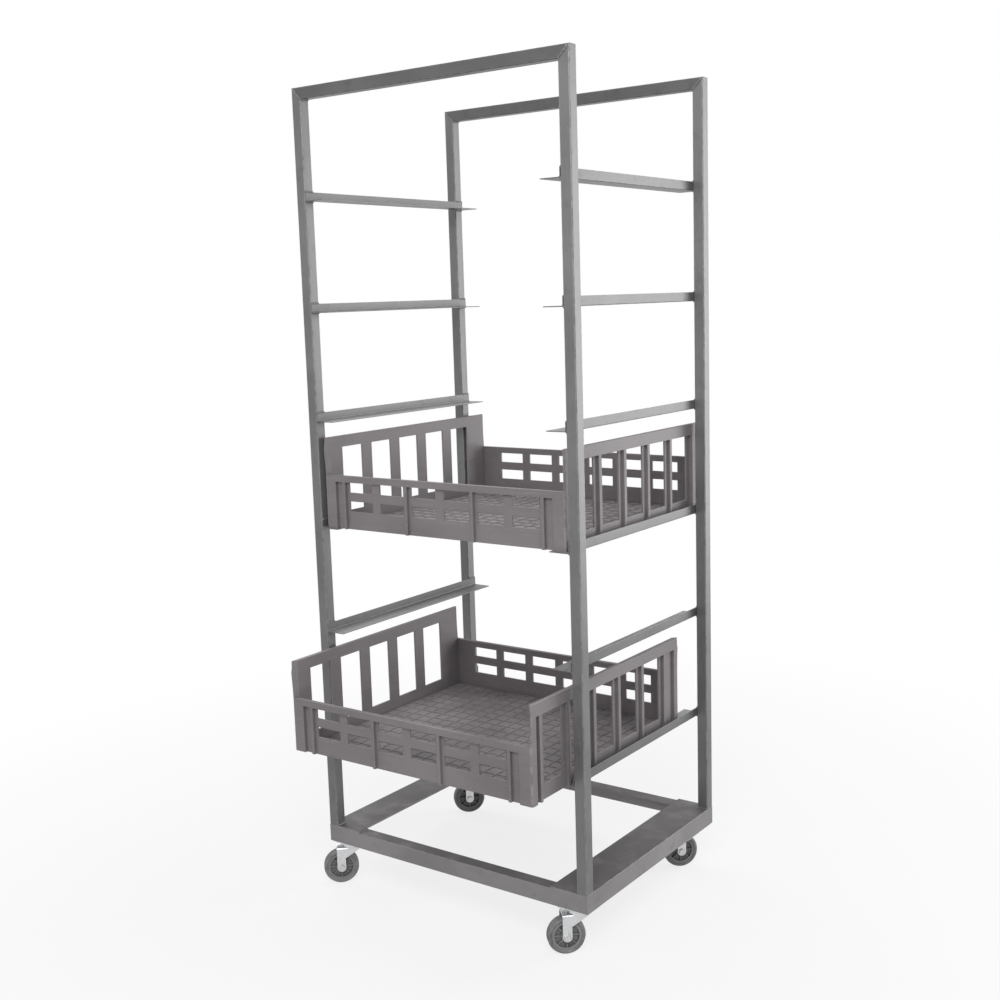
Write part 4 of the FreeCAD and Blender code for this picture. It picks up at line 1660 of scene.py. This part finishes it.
    def make_axle(self) -> None:
        """Axle bolt with its head and nut."""
        outside = self.fork_half
        length = 2 * outside + self.axle_nut + self.thread_end
        bm = bmesh.new()
        bmesh.ops.create_cone(
            bm,
            cap_ends=True,
            segments=self.axle_sides,
            radius1=self.axle_radius,
            radius2=self.axle_radius,
            depth=length,
            matrix=Matrix.Translation((0, 0, length / 2 - outside)),
        )
        soften(bm, sharp_edges(bm), self.plate_edge, CHAMFER_SEGMENTS)
        head = hexagon_block(self.axle_flats, self.axle_head, self.head_chamfer)
        nut = hexagon_block(self.axle_flats, self.axle_nut, self.head_chamfer)
        add_shell(bm, head, Matrix.Translation((0, 0, -outside)) @ Matrix.Rotation(math.pi, 4, "X"))
        add_shell(bm, nut, Matrix.Translation((0, 0, outside)))
        along_axle = Matrix.Rotation(math.pi / 2, 4, "X")
        bmesh.ops.transform(bm, matrix=self.at_wheel @ along_axle, verts=bm.verts)
        self.add_piece(bm, "axle_bolt", BOLT_ZINC, f"{self.corner}_swivel", "fastener_zinc", "axle")


@dataclass(frozen=True)
class Lamp:
    """Soft rectangular studio lamp."""

    name: str
    place: Triple
    target: Triple
    width: float
    height: float
    watts: float

    def build(self) -> None:
        """Hang the lamp and point it."""
        light = bpy.data.lights.new(self.name, "AREA")
        light.shape = "RECTANGLE"
        light.size = self.width
        light.size_y = self.height
        light.energy = self.watts
        lamp = in_scene(self.name, light)
        lamp.location = self.place
        aim = Vector(self.target) - Vector(self.place)
        lamp.rotation_euler = aim.to_track_quat("-Z", "Y").to_euler()


@dataclass
class Studio:
    """Floor, surround, lamps and camera."""

    floor_half: float = 30.0
    ambient: float = 0.28
    eye: Triple = (1.6757, -2.3484, 1.3285)
    azimuth: float = math.radians(36.0831)
    elevation: float = math.radians(8.8069)
    roll: float = math.radians(-1.7811)
    lens: float = 46.96
    sensor: float = 36.0
    lamps: tuple[Lamp, ...] = (
        Lamp("key_right_rear", (2.3, 2.7, 1.25), (0.0, 0.0, 0.95), width=1.6, height=2.4, watts=68.0),
        Lamp("soft_front", (2.0, -2.9, 3.2), (0.0, 0.0, 0.8), width=2.2, height=2.2, watts=118.0),
        Lamp("fill_front_left", (-1.6, -3.8, 2.2), (0.0, 0.0, 0.8), width=2.6, height=2.6, watts=15.0),
        Lamp("fill_left_rear", (-2.8, 1.0, 1.8), (0.0, 0.0, 0.8), width=2.0, height=2.0, watts=26.0),
        Lamp("top_soft", (-0.4, 0.8, 4.2), (0.0, 0.0, 0.6), width=2.4, height=2.4, watts=28.0),
    )

    def build(self) -> None:
        """Set up everything round the object."""
        bpy.context.scene.view_settings.view_transform = "Standard"
        self.lay_floor()
        self.surround()
        for lamp in self.lamps:
            lamp.build()
        self.set_camera()

    def lay_floor(self) -> None:
        """Large pale floor under the wheels."""
        bm = bmesh.new()
        bmesh.ops.create_grid(bm, x_segments=1, y_segments=1, size=self.floor_half)
        mesh = bpy.data.meshes.new("floor")
        bm.to_mesh(mesh)
        bm.free()
        mesh.materials.append(FLOOR.material())
        in_scene("floor", mesh)

    def surround(self) -> None:
        """White surround for the eye, dimmer for the light that it gives."""
        world = bpy.data.worlds.new("studio")
        world.use_nodes = True
        graph = Graph(world.node_tree)
        dim = graph.node("ShaderNodeBackground", {}, {"Color": grey(1.0), "Strength": self.ambient})
        white = graph.node("ShaderNodeBackground", {}, {"Color": grey(1.0), "Strength": 1.0})
        mixed = graph.node("ShaderNodeMixShader", {}, {0: seen_by_eye(graph), 1: dim, 2: white})
        graph.node("ShaderNodeOutputWorld", {}, {"Surface": mixed})
        bpy.context.scene.world = world

    def set_camera(self) -> None:
        """Camera at the photograph's viewing angle."""
        level = Vector((math.sin(self.azimuth), -math.cos(self.azimuth), 0))
        back = level * math.cos(self.elevation) + Z_AXIS * math.sin(self.elevation)
        right = (-back).cross(Z_AXIS).normalized()
        up = back.cross(right)
        tilt = Matrix.Rotation(self.roll, 3, back)
        axes = Matrix((tilt @ right, tilt @ up, back)).transposed()
        data = bpy.data.cameras.new("camera")
        data.lens = self.lens
        data.sensor_width = self.sensor
        camera = in_scene("camera", data)
        camera.matrix_world = Matrix.Translation(self.eye) @ axes.to_4x4()
        bpy.context.scene.camera = camera


def main() -> None:
    """Build the object's pieces in order, then the studio round it."""
    logging.basicConfig(level=logging.INFO, format="%(name)s: %(message)s")
    SteelFrame().build()
    for node in ("upper_crate", "lower_crate"):
        Crate(node).build()
    for end in End:
        for side in Side:
            Caster(end, side).build()
    for node in ("caster_bolts", "caster_nuts"):
        dress_node(node, BOLT_ZINC)
    Studio().build()


if __name__ == "__main__":
    main()
